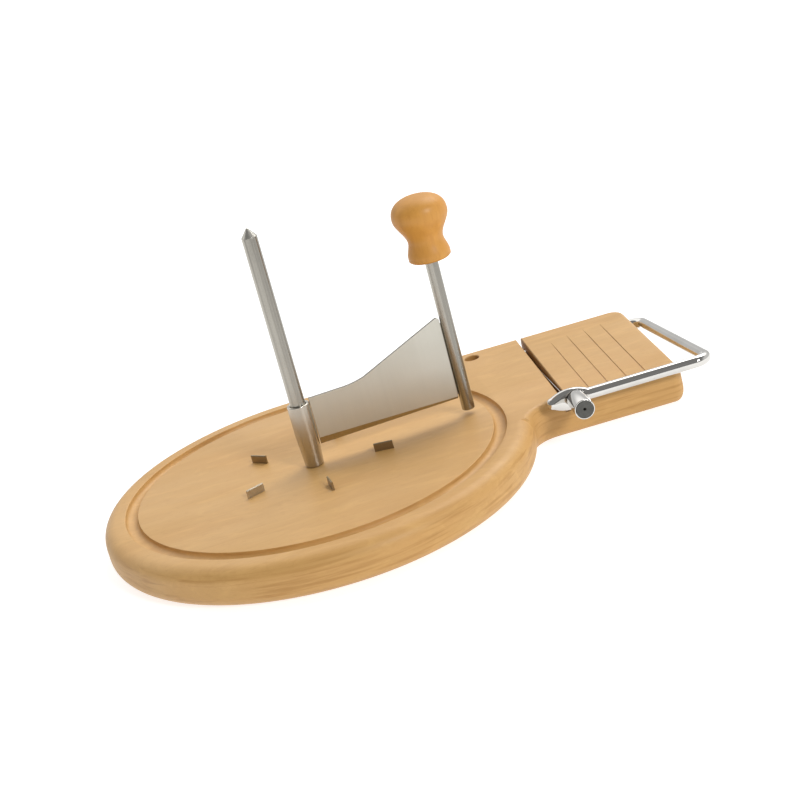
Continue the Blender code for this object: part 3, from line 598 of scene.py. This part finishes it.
def board_outline():
    """Plan points of the board, each with its outward direction times its share of the rounding."""
    near_y = TAB_NEAR_Y - NEAR_FILLET_RADIUS
    near_x = math.sqrt((DISC_RADIUS + NEAR_FILLET_RADIUS) ** 2 - near_y ** 2)
    far_y = TAB_FAR_Y + FAR_FILLET_RADIUS
    far_x = math.sqrt((DISC_RADIUS + FAR_FILLET_RADIUS) ** 2 - far_y ** 2)
    near_angle = math.degrees(math.atan2(near_y, near_x))
    far_angle = math.degrees(math.atan2(far_y, far_x))
    near_corner = (TAB_END - TAB_NEAR_CORNER_RADIUS, TAB_NEAR_Y + TAB_NEAR_CORNER_RADIUS)
    far_corner = (TAB_END - TAB_FAR_CORNER_RADIUS, TAB_FAR_Y - TAB_FAR_CORNER_RADIUS)
    share = TAB_ROUND_SHARE
    runs = (
        ((0.0, 0.0), DISC_RADIUS, far_angle, 360.0 + near_angle, DISC_STEPS, 1.0, 1.0),
        ((near_x, near_y), NEAR_FILLET_RADIUS, 180.0 + near_angle, 90.0, 20, -1.0, share),
        (near_corner, TAB_NEAR_CORNER_RADIUS, -90.0, 0.0, 18, 1.0, share),
        (far_corner, TAB_FAR_CORNER_RADIUS, 0.0, 90.0, 18, 1.0, share),
        ((far_x, far_y), FAR_FILLET_RADIUS, -90.0, -180.0 + far_angle, 14, -1.0, share),
    )
    points = []
    for number, (centre, radius, start, end, steps, outward, rounding) in enumerate(runs):
        run = []
        for x, y in arc(centre, radius, start, end, steps):
            direction = Vector((x - centre[0], y - centre[1])) / radius * outward
            run.append((Vector((x, y)), direction * rounding))
        # The fillets share a point with the disc at each end of its arc
        if number == 1:
            run = run[1:]
        elif number == 4:
            run = run[:-1]
        points += run
    return points


def edge_stations(steps):
    """Inset and height of each ring up the rounded edge."""
    quarter = [0.5 * math.pi * k / steps for k in range(steps + 1)]
    stations = [(EDGE_ROUND * (1.0 - math.sin(a)), EDGE_ROUND * (1.0 - math.cos(a))) for a in quarter]
    return stations + [(inset, TOP - height) for inset, height in reversed(stations)]


def groove_section():
    """The juice groove's section: softened lips and a round bottom."""
    inner, outer = GROOVE_INNER_RADIUS, GROOVE_OUTER_RADIUS
    middle = 0.5 * (inner + outer)
    half = 0.5 * (outer - inner)
    over = TOP + OVER
    profile = [(outer + GROOVE_LIP, over), (inner - GROOVE_LIP, over)]
    profile += arc((inner - GROOVE_LIP, TOP - GROOVE_LIP), GROOVE_LIP, 90.0, 0.0, 4)
    for k in range(1, 20):
        angle = math.pi * k / 20
        depth = (GROOVE_DEPTH - GROOVE_LIP) * math.sin(angle) ** 0.7
        profile.append((middle - half * math.cos(angle), TOP - GROOVE_LIP - depth))
    return profile + arc((outer + GROOVE_LIP, TOP - GROOVE_LIP), GROOVE_LIP, 180.0, 90.0, 4)


def slot_section(floor):
    """The wire slot's section above a floor height, with eased top edges."""
    ease = 0.4 * MM
    over = TOP + OVER
    right = [(SLOT_X1, floor), (SLOT_X1, TOP - ease), (SLOT_X1 + ease, TOP), (SLOT_X1 + ease, over)]
    left = [(SLOT_X0 - ease, over), (SLOT_X0 - ease, TOP), (SLOT_X0, TOP - ease)]
    return [(SLOT_X0, floor)] + right + left


def gauge_section(x, share):
    """A gauge line's section: a shallow saw cut with a round bottom; share scales its depth."""
    half = 0.5 * GAUGE_WIDTH * (0.35 + 0.65 * share)
    section = [(x + half, TOP + 0.3 * MM), (x - half, TOP + 0.3 * MM)]
    for k in range(7):
        angle = math.pi * k / 6
        section.append((x - half * math.cos(angle), TOP - GAUGE_DEPTH * share * math.sin(angle) ** 0.7))
    return section


def hole_profile(radius, ease):
    """A through hole's profile with eased rims."""
    low = [(0.0, -OVER), (radius + ease + OVER, -OVER), (radius, ease)]
    return low + [(radius, TOP - ease), (radius + ease + OVER, TOP + OVER), (0.0, TOP + OVER)]


def board_blank():
    """The board's outline with its rounded edges, before anything is cut."""
    mesh_data = bmesh.new()
    outline = board_outline()
    rings = []
    for inset, height in edge_stations(10):
        plan = [p - d * inset for p, d in outline]
        rings.append([mesh_data.verts.new((point.x, point.y, height)) for point in plan])
    skin(mesh_data, rings)
    return new_piece("board_wood", mesh_data, [board_wood("board_beech_look")])


def upright_cuts():
    """What is cut from above: the wire slot, the hanging hole, the spindle's seat and the spikes' slits."""
    mesh_data = bmesh.new()
    near_end = (TAB_NEAR_Y - OVER, slot_section(SLOT_NEAR_FLOOR_Z))
    far_end = (TAB_FAR_Y + OVER, slot_section(SLOT_FAR_FLOOR_Z))
    prism(mesh_data, [near_end, far_end])
    lathe(mesh_data, hole_profile(HANG_HOLE_RADIUS, 0.4 * MM), HOLE_STEPS, Matrix.Translation(HANG_HOLE))
    seat = SPINDLE_RADIUS + 0.12 * MM
    pin(mesh_data, seat, SPINDLE_LOW.z - 0.2 * MM, TOP + OVER, HOLE_STEPS, UPRIGHT)
    clear = 0.05 * MM
    half_length = 0.5 * SPIKE_LENGTH
    half_width = 0.5 * SPIKE_THICKNESS + clear
    for angle in SPIKE_ANGLES:
        low = (SPIKE_RADIUS - half_length - clear, -half_width, SPIKE_FOOT_Z - clear)
        high = (SPIKE_RADIUS + half_length + clear, half_width, TOP + OVER)
        block(mesh_data, low, high, Matrix.Rotation(math.radians(angle), 4, "Z"))
    return mesh_data


def rod_bore():
    """The hole along the tab, from the slot to the tab's end, that the bow turns in."""
    mesh_data = bmesh.new()
    start = SLOT_X1 - OVER
    length = TAB_END - start + OVER
    placement = Matrix.Translation((start, PIVOT.y, PIVOT.z)) @ Matrix.Rotation(0.5 * math.pi, 4, "Y")
    pin(mesh_data, ROD_RADIUS + 0.08 * MM, 0.0, length, HOLE_STEPS, placement)
    return mesh_data


def gauge_lines():
    """The four saw cuts across the tab, which run out near its far edge."""
    mesh_data = bmesh.new()
    for k, end_y in enumerate(GAUGE_ENDS_Y):
        x = GAUGE_FIRST_X + k * GAUGE_PITCH
        stations = ((TAB_NEAR_Y - OVER, 1.0), (end_y - GAUGE_RUN_OUT, 1.0), (end_y, GAUGE_END_SHARE))
        prism(mesh_data, [(y, gauge_section(x, share)) for y, share in stations])
    return mesh_data


def make_board():
    """The one-piece beech board with its groove, slot, gauge lines and holes."""
    # Lighter and darker copies of the board's beech: painted light on the juice groove, painted shade in
    # the slot, holes, bore, spike slits and gauge lines.
    lit_groove_wood = board_wood("board_groove_painted_light_look", 1.04)
    shaded_cut_wood = board_wood("board_cut_painted_shade_look", 0.80)
    shaded_line_wood = board_wood("board_line_painted_shade_look", 0.90)
    board = board_blank()
    groove = bmesh.new()
    lathe(groove, groove_section(), DISC_STEPS, UPRIGHT)
    carve(board, groove, lit_groove_wood)
    carve(board, upright_cuts(), shaded_cut_wood)
    carve(board, rod_bore(), shaded_cut_wood)
    carve(board, gauge_lines(), shaded_line_wood)
    board.data.shade_smooth()
    board.data.set_sharp_from_angle(angle=math.radians(32.0))
    stand_in(board, "board_body", "beech", "board")


# ---------------------------------------------------------------- spindle and scraper

def make_spindle():
    """The steel rod with its turned point."""
    low, high = SPINDLE_LOW.z, SPINDLE_HIGH.z
    radius = SPINDLE_RADIUS
    chamfer = 0.5 * MM
    ease = 0.25 * MM
    tip_round = 0.75 * MM
    shoulder = high - SPINDLE_CONE - ease
    profile = [(0.0, low), (radius - chamfer, low), (radius, low + chamfer), (radius, shoulder)]
    profile += arc((radius - ease, shoulder), ease, 20.0, 45.0, 3)
    profile += arc((0.0, high - tip_round), tip_round, 35.0, 80.0, 5)
    profile.append((0.0, high))
    point = steel("spindle_point_look", STEEL_POINT, 0.36, TURNED, bump=0.02, contrast=0.05)
    shaft = drawn_bar("spindle_steel_look", STEEL_BAR, DRAWN)
    piece = turned_piece("spindle_rod", profile, [shaft, point], 28.0)
    # The cone and the tip
    for face in piece.data.polygons:
        if face.normal.z > 0.2:
            face.material_index = 1
    stand_in(piece, "board_body", "spindle_steel", "spindle")


def taper_radius(height):
    """Outside radius of the collar and of the hub's lower end, which share one taper."""
    rise = (height - COLLAR_LOW.z) / (HUB_TAPER_Z - COLLAR_LOW.z)
    return HUB_FOOT_RADIUS + (HUB_RADIUS - HUB_FOOT_RADIUS) * rise


def make_collar():
    """The narrow collar under the hub."""
    low, high = COLLAR_LOW.z, HUB_LOW.z - 0.04 * MM
    bore = SPINDLE_RADIUS + 0.08 * MM
    ease = 0.3 * MM
    profile = [(bore, low), (taper_radius(low) - ease, low), (taper_radius(low + ease), low + ease)]
    profile += [(taper_radius(high), high), (bore, high)]
    look = drawn_bar("collar_steel_look", STEEL_WARM, TURNED, streaks=False)
    piece = turned_piece("collar_ring", profile, [look], 40.0)
    stand_in(piece, "collar_body", "collar_steel", "hub_collar")


def make_hub():
    """The sleeve that turns on the spindle."""
    low, high = HUB_LOW.z, HUB_HIGH.z
    bore = SPINDLE_RADIUS + 0.08 * MM
    ease = 0.45 * MM
    profile = [(bore, low), (taper_radius(low), low), (HUB_RADIUS, HUB_TAPER_Z)]
    profile += [(HUB_RADIUS, high - ease)] + arc((HUB_RADIUS - ease, high - ease), ease, 15.0, 90.0, 5)
    profile += [(bore + 0.55 * MM, high), (bore + 0.2 * MM, high - 0.2 * MM), (bore, high - 0.8 * MM)]
    look = drawn_bar("hub_steel_look", STEEL_WARM, TURNED, streaks=False)
    piece = turned_piece("hub_sleeve", profile, [look], 50.0)
    stand_in(piece, "scraper_body", "hub_steel", "scraper_hub")


def blade_outline():
    """Upper outline of the blade, from the post over the apex and down to the hub."""
    radius = BLADE_APEX_RADIUS
    round_s = BLADE_SHOULDER_S + BLADE_SHOULDER_ROUND
    round_z = BLADE_SHOULDER_Z + BLADE_SHOULDER_RISE
    centre = (BLADE_APEX_S - radius, BLADE_APEX_Z - radius)
    slope = math.degrees(math.atan2(BLADE_APEX_Z - round_z, centre[0] - round_s))
    points = [(BLADE_END, centre[1] - radius)] + arc(centre, radius, 0.0, 90.0 + slope, 14)
    steps = 16
    for k in range(steps + 1):
        blend = k / steps
        s = round_s - BLADE_SHOULDER_RUN * BLADE_SHOULDER_ROUND * blend
        points.append((s, BLADE_SHOULDER_Z + BLADE_SHOULDER_RISE * (1.0 - blend) ** 2))
    return points + [(BLADE_START, BLADE_SHOULDER_Z)]


def make_blade():
    """The scraper plate with its ground lower edge."""
    half = 0.5 * BLADE_THICKNESS
    upper = blade_outline()
    mesh_data = bmesh.new()
    front = upper + [(BLADE_START, BEVEL_HUB_Z), (BLADE_END, BEVEL_POST_Z)]
    back = upper + [(BLADE_START, BLADE_EDGE_Z), (BLADE_END, BLADE_EDGE_Z)]
    prism(mesh_data, [(-half, front), (half, back)])
    plain = steel("blade_steel_look", BLADE_STEEL, 0.38, BRUSHED_UPRIGHT, bump=0.006, contrast=0.03)
    ground = steel("blade_ground_look", GROUND_STEEL, 0.34, GROUND_UPRIGHT, bump=0.05)
    edge = steel("blade_edge_and_shadow_look", EDGE_AND_SHADOW_STEEL, 0.40, EDGE_LINES, bump=0.01)
    piece = new_piece("blade_plate", mesh_data, [plain, ground, edge], 25.0)
    # The ground bevel faces the front and down; the cut edges face up and sideways
    for face in piece.data.polygons:
        if face.normal.y < -0.3 and face.normal.z < -0.2:
            face.material_index = 1
        elif abs(face.normal.y) < 0.3 and face.normal.z > -0.2:
            face.material_index = 2
    soften(piece, 0.1 * MM)
    bake_modifiers(piece)
    piece.rotation_euler.z = SCRAPER_ANGLE
    stand_in(piece, "scraper_body", "blade_steel", "scraper_blade")
    # The dark edge steel also colours the strip that paints the joint's shadow line
    make_shadow_strip(edge)


def make_shadow_strip(edge):
    """A thin strip of dark steel, set back between the blade's end and the post: its dark colour paints the
    shadow line where the plate meets the post.
    """
    mesh_data = bmesh.new()
    half = 0.35 * 0.5 * BLADE_THICKNESS
    low = (BLADE_END - 0.3 * MM, -half, BEVEL_POST_Z + MM)
    high = (SHADOW_STRIP_END, half, BLADE_APEX_Z - 2.0 * BLADE_APEX_RADIUS)
    block(mesh_data, low, high, UPRIGHT)
    shadow_strip = new_piece("blade_shadow_strip", mesh_data, [edge])
    shadow_strip.rotation_euler.z = SCRAPER_ANGLE
    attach(shadow_strip, "scraper_body")


def make_post():
    """The upright rod at the blade's outer end."""
    low, high = POST_LOW.z, POST_HIGH.z
    ease = 0.45 * MM
    profile = [(0.0, low)] + arc((POST_RADIUS - ease, low + ease), ease, -80.0, 0.0, 5)
    profile += arc((POST_RADIUS - ease, high - ease), ease, 0.0, 80.0, 5) + [(0.0, high)]
    piece = turned_piece("post_rod", profile, [drawn_bar("post_steel_look", STEEL_BAR, DRAWN)], 40.0)
    piece.location = (POST_CENTRE.x, POST_CENTRE.y, 0.0)
    stand_in(piece, "scraper_body", "post_steel", "scraper_post")


def glide(share, start, end, before, after):
    """Move smoothly from one value to another between two shares of a length."""
    t = min(1.0, max(0.0, (share - start) / (end - start)))
    return before + (after - before) * t * t * (3.0 - 2.0 * t)


def knob_radius(share):
    """Radius of the knob at a share of its height: a flared foot, a neck and a round head."""
    foot, neck = KNOB_FOOT_RADIUS, KNOB_NECK_RADIUS
    if share < KNOB_NECK:
        edge = max(0.0, 1.0 - share / KNOB_FOOT_EDGE)
        return glide(share, KNOB_FLARE, KNOB_NECK, foot, neck) - KNOB_FOOT_ROUND * edge * edge
    if share < KNOB_BELLY:
        return glide(share, KNOB_NECK, KNOB_BELLY, neck, KNOB_RADIUS)
    crown = (share - KNOB_BELLY) / (1.0 - KNOB_BELLY)
    return KNOB_RADIUS * max(0.0, 1.0 - crown ** CROWN_POWER) ** (1.0 / CROWN_POWER)


def make_knob():
    """The turned knob, hollow where its metal sleeve sits."""
    low, high = KNOB_LOW.z, KNOB_HIGH.z
    seat = KNOB_SEAT_RADIUS
    roof = low + KNOB_SEAT_DEPTH
    mouth_depth = 0.15 * MM
    mouth_radius = seat + 0.2 * MM
    profile = [(0.0, roof), (seat, roof), (seat, low + mouth_depth), (mouth_radius, low)]
    steps = 90
    for k in range(steps):
        # The steps get closer towards the crown
        share = math.sin(0.5 * math.pi * k / steps) ** 1.2
        profile.append((knob_radius(share), low + (high - low) * share))
    profile.append((0.0, high))
    piece = turned_piece("knob_wood", profile, [knob_wood()], 60.0)
    piece.location = (POST_CENTRE.x, POST_CENTRE.y, 0.0)
    stand_in(piece, "scraper_body", "varnished_beech", "knob")


# ---------------------------------------------------------------- bow and tensioner

def rounded_path(corners, radius, steps):
    """Replace each inner corner of a path by an arc."""
    path = [corners[0]]
    for before, corner, after in zip(corners[:-2], corners[1:-1], corners[2:]):
        to_before = (before - corner).normalized()
        to_after = (after - corner).normalized()
        half = 0.5 * to_before.angle(to_after)
        centre = corner + (to_before + to_after).normalized() * (radius / math.sin(half))
        start = corner + to_before * (radius / math.tan(half)) - centre
        end = corner + to_after * (radius / math.tan(half)) - centre
        normal = start.cross(end)
        for k in range(steps + 1):
            path.append(centre + Matrix.Rotation((math.pi - 2.0 * half) * k / steps, 3, normal) @ start)
    path.append(corners[-1])
    return path


def about_stud(y):
    """Placement with local Z pointing out of the stud's free end."""
    return Matrix.Translation((STUD_X, y, STUD_Z)) @ Matrix.Rotation(0.5 * math.pi, 4, "X")


def bow_stations():
    """Points along the bow, each with its flatness, 0 to 1, and the share of the bar's full size there."""
    leg_tip = Vector((ROD_LOW.x, PIVOT.y, PIVOT.z))
    eye_start = Vector((LUG_HIGH.x + EYE_NECK, ARM_Y, STUD_Z))
    path = rounded_path([leg_tip, PIVOT, NEAR_CORNER, eye_start], BEND_RADIUS, 20)
    chamfer_end = path[0] + Vector((LEG_CHAMFER, 0.0, 0.0))
    stations = [(path[0], 0.0, LEG_TIP_SIZE), (chamfer_end, 0.0, 1.0)]
    stations += [(point, 0.0, 1.0) for point in path[1:]]
    length = LUG_HIGH.x - LUG_LOW.x
    steps = 48
    for k in range(steps + 1):
        place = 1.0 - k / steps
        flat = max(0.0, 1.0 - ((place - EYE_MIDDLE) / EYE_REACH) ** 2)
        tip = max(0.0, 1.0 - place / EYE_TIP)
        size = math.sqrt(max(0.0, 1.0 - EYE_TIP_ROUNDING * tip ** 2))
        stations.append((Vector((LUG_LOW.x + length * place, ARM_Y, STUD_Z)), flat, size))
    return stations


def bow_section(toward, plane_normal, flat):
    """Offsets round the bar at right angles to its direction: round, or thin and tall where flat is 1."""
    tall = plane_normal.lerp(Vector((0.0, 0.0, 1.0)), flat)
    tall = (tall - toward * tall.dot(toward)).normalized()
    side = tall.cross(toward)
    half_side = ROD_RADIUS + (EYE_HALF_THICKNESS - ROD_RADIUS) * flat
    half_tall = ROD_RADIUS + (0.5 * (LUG_HIGH.z - LUG_LOW.z) - ROD_RADIUS) * flat
    power = 1.0 - EYE_SQUARENESS * flat
    offsets = []
    for k in range(BOW_STEPS):
        angle = 2.0 * math.pi * k / BOW_STEPS
        across = math.copysign(abs(math.cos(angle)) ** power, math.cos(angle))
        offsets.append(side * (half_side * across) + tall * (half_tall * math.sin(angle)))
    return offsets


def bow_bores():
    """The stud's hole through the eye, and the wire's holes through the leg and the eye."""
    mesh_data = bmesh.new()
    reach = 4.0 * MM
    pin(mesh_data, STUD_RADIUS + 0.12 * MM, -reach, reach, STUD_HOLE_STEPS, about_stud(ARM_Y))
    wire_line = NEAR_CORNER - PIVOT
    wire_line.x = 0.0
    turn = wire_line.normalized().to_track_quat("Z", "Y").to_matrix().to_4x4()
    for middle in (Vector((WIRE_X, PIVOT.y, PIVOT.z)), Vector((WIRE_X, ARM_Y, STUD_Z))):
        placement = Matrix.Translation(middle) @ turn
        pin(mesh_data, WIRE_HOLE_RADIUS, -1.5 * reach, 1.5 * reach, WIRE_HOLE_STEPS, placement)
    return mesh_data


def make_bow():
    """The bow in one piece: leg, crossbar, near arm and its flattened eye."""
    plane_normal = Vector((1.0, 0.0, 0.0)).cross(NEAR_CORNER - PIVOT).normalized()
    if plane_normal.z < 0.0:
        plane_normal = -plane_normal
    stations = bow_stations()
    mesh_data = bmesh.new()
    rings = []
    for number, (point, flat, size) in enumerate(stations):
        before = stations[max(number - 1, 0)][0]
        after = stations[min(number + 1, len(stations) - 1)][0]
        offsets = bow_section((after - before).normalized(), plane_normal, flat)
        rings.append([mesh_data.verts.new(point + offset * size) for offset in offsets])
    skin(mesh_data, rings)
    bow = new_piece("bow_frame", mesh_data, [chrome("bow_chrome_look")])
    carve(bow, bow_bores(), chrome("bore_chrome_look", 0.2))
    bow.data.shade_smooth()
    bow.data.set_sharp_from_angle(angle=math.radians(35.0))
    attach(bow, "bow_body")
    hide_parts("bow_rod", "bow_lug")


def make_nut():
    """The round thumb nut: a plain barrel with a turned rim round its cap."""
    length = NUT_HIGH.y - NUT_LOW.y
    bore = STUD_RADIUS + 0.08 * MM
    ease = 0.5 * MM
    seat = CAP_RADIUS + 0.12 * MM
    rim = 0.35 * MM
    recess = 1.4 * MM
    profile = [(bore, 0.0)] + arc((NUT_RADIUS - ease, ease), ease, -90.0, 0.0, 5)
    profile += arc((NUT_RADIUS - rim, length - rim), rim, 0.0, 90.0, 5)
    profile += [(seat + 0.05 * MM, length), (seat, length - 0.08 * MM), (seat, length - recess)]
    profile += [(bore, length - recess)]
    look = chrome("nut_chrome_look", 0.09)
    nut = turned_piece("thumb_nut", profile, [look], 40.0, about_stud(NUT_HIGH.y))
    stand_in(nut, "nut_body", "nut_chrome", "tension_nut")


def make_cap():
    """The dark cap, slightly dished, with its centre hole."""
    thickness = CAP_HIGH.y - CAP_LOW.y
    hole = 0.7 * MM
    ease = 0.25 * MM
    profile = [(hole, 0.0), (CAP_RADIUS, 0.0)]
    profile += arc((CAP_RADIUS - ease, thickness - ease), ease, 0.0, 90.0, 4)
    profile += [(CAP_RADIUS - 0.9 * MM, thickness), (0.55 * CAP_RADIUS, thickness - 0.12 * MM)]
    profile += [(hole + 0.35 * MM, thickness - 0.16 * MM), (hole, thickness - 0.4 * MM)]
    cap = turned_piece("nut_cap", profile, [dark_cap_plastic()], 30.0, about_stud(CAP_HIGH.y))
    stand_in(cap, "nut_body", "cap_plastic", "tension_cap")


def dress_frame_nodes():
    """Better materials and softened edges on the nodes whose shape is already right."""
    looks = {
        "cutting_wire": (steel("wire_steel_look", WIRE_STEEL, 0.2, WIRE_LINES), 0.0),
        "wire_ferrule": (steel("ferrule_brass_look", BRASS, 0.3, FERRULE_LINES), 0.08 * MM),
        "tension_stud": (steel("stud_steel_look", STUD_STEEL, 0.25, THREAD_LINES), 0.0),
        "tension_washer": (chrome("washer_chrome_look", 0.1), 0.1 * MM),
        "knob_insert": (steel("insert_brass_look", BRASS, 0.3, TURNED), 0.1 * MM),
    }
    # Each fin's colour is a painted reflection of the wood at its angle
    for number in range(1, len(SPIKE_ANGLES) + 1):
        look = steel("fin_%d_look" % number, FIN_REFLECTION_COLORS[number - 1], 0.38, FIN_LINES, bump=0.05)
        looks["anchor_spike_%d" % number] = (look, 0.09 * MM)
    for name, (look, width) in looks.items():
        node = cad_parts[name]
        for slot in node.material_slots:
            slot.material = look
        if width:
            soften(node, width)


# ---------------------------------------------------------------- stage

def make_floor():
    """A plain pale floor, whose own glow keeps the shadows on it light."""
    mesh_data = bmesh.new()
    bmesh.ops.create_circle(mesh_data, cap_ends=True, segments=64, radius=9.0)
    material, _, shader = new_material("floor_pale", Roughness=0.9)
    shader.inputs["Base Color"].default_value = (FLOOR_GREY, FLOOR_GREY, FLOOR_GREY, 1.0)
    shader.inputs["Specular IOR Level"].default_value = 0.0
    shader.inputs["Emission Color"].default_value = (1.0, 1.0, 1.0, 1.0)
    shader.inputs["Emission Strength"].default_value = FLOOR_GLOW
    floor = new_piece("floor", mesh_data, [material])
    floor.location.z = -0.2 * MM


def make_world():
    """A studio: dim in front and overhead, bright behind above a grey horizon, pale on the right."""
    world = bpy.data.worlds.new("studio")
    bpy.context.scene.world = world
    world.use_nodes = True
    tree = world.node_tree
    tree.nodes.clear()
    source = add_node(tree, "TexCoord")
    split = add_node(tree, "SeparateXYZ")
    tree.links.new(source.outputs["Generated"], split.inputs["Vector"])
    back = remap(tree, split.outputs["Z"], 0.25, 0.55, SKY_HORIZON, SKY_HIGH, smooth=True)
    behind = remap(tree, split.outputs["Y"], 0.02, 0.36, smooth=True)
    sky = blend_color(tree, behind, SKY_FRONT, back)
    right = remap(tree, split.outputs["X"], 0.68, 0.92, smooth=True)
    sky = blend_color(tree, right, sky, SKY_RIGHT)
    soft = add_node(tree, "Background", {"Strength": 1.0})
    tree.links.new(sky, soft.inputs["Color"])
    plain = add_node(tree, "Background", {"Color": (1.0, 1.0, 1.0, 1.0), "Strength": 1.0})
    mix = add_node(tree, "MixShader")
    tree.links.new(add_node(tree, "LightPath").outputs["Is Camera Ray"], mix.inputs["Fac"])
    tree.links.new(soft.outputs[0], mix.inputs[1])
    tree.links.new(plain.outputs[0], mix.inputs[2])
    tree.links.new(mix.outputs[0], add_node(tree, "OutputWorld").inputs["Surface"])


def add_soft_sun(name, toward_light, spread, strength):
    """A distant broad light from a direction, which lights the whole floor alike."""
    light = bpy.data.lights.new(name, "SUN")
    light.angle = math.radians(spread)
    light.energy = strength
    lamp = bpy.data.objects.new(name, light)
    bpy.context.scene.collection.objects.link(lamp)
    lamp.rotation_euler = (-Vector(toward_light)).to_track_quat("-Z", "Y").to_euler()


def make_lights():
    """Key from above, behind and right; a fill from the front right."""
    add_soft_sun("key", KEY_FROM, KEY_SPREAD, KEY_STRENGTH)
    add_soft_sun("fill", FILL_FROM, FILL_SPREAD, FILL_STRENGTH)


def make_camera():
    """The camera at the chosen azimuth, elevation and roll about its target."""
    azimuth, elevation = CAMERA_AZIMUTH, CAMERA_ELEVATION
    back = Vector((math.sin(azimuth) * math.cos(elevation), -math.cos(azimuth) * math.cos(elevation),
                   math.sin(elevation)))
    right = (-back).cross(Vector((0.0, 0.0, 1.0))).normalized()
    up = right.cross(-back)
    rolled_right = right * math.cos(CAMERA_ROLL) + up * math.sin(CAMERA_ROLL)
    rolled_up = up * math.cos(CAMERA_ROLL) - right * math.sin(CAMERA_ROLL)
    camera = bpy.data.objects.new("camera", bpy.data.cameras.new("camera"))
    camera.data.lens = CAMERA_LENS
    camera.data.sensor_width = CAMERA_SENSOR
    camera.data.clip_start = 0.01
    bpy.context.scene.collection.objects.link(camera)
    turn = Matrix((rolled_right, rolled_up, back)).transposed().to_4x4()
    camera.matrix_world = Matrix.Translation(CAMERA_TARGET + back * CAMERA_DISTANCE) @ turn
    bpy.context.scene.camera = camera


make_camera()
make_board()
make_spindle()
make_collar()
make_hub()
make_blade()
make_post()
make_knob()
make_bow()
make_nut()
make_cap()
dress_frame_nodes()
make_floor()
make_world()
make_lights()
bpy.context.scene.view_settings.view_transform = "Standard"
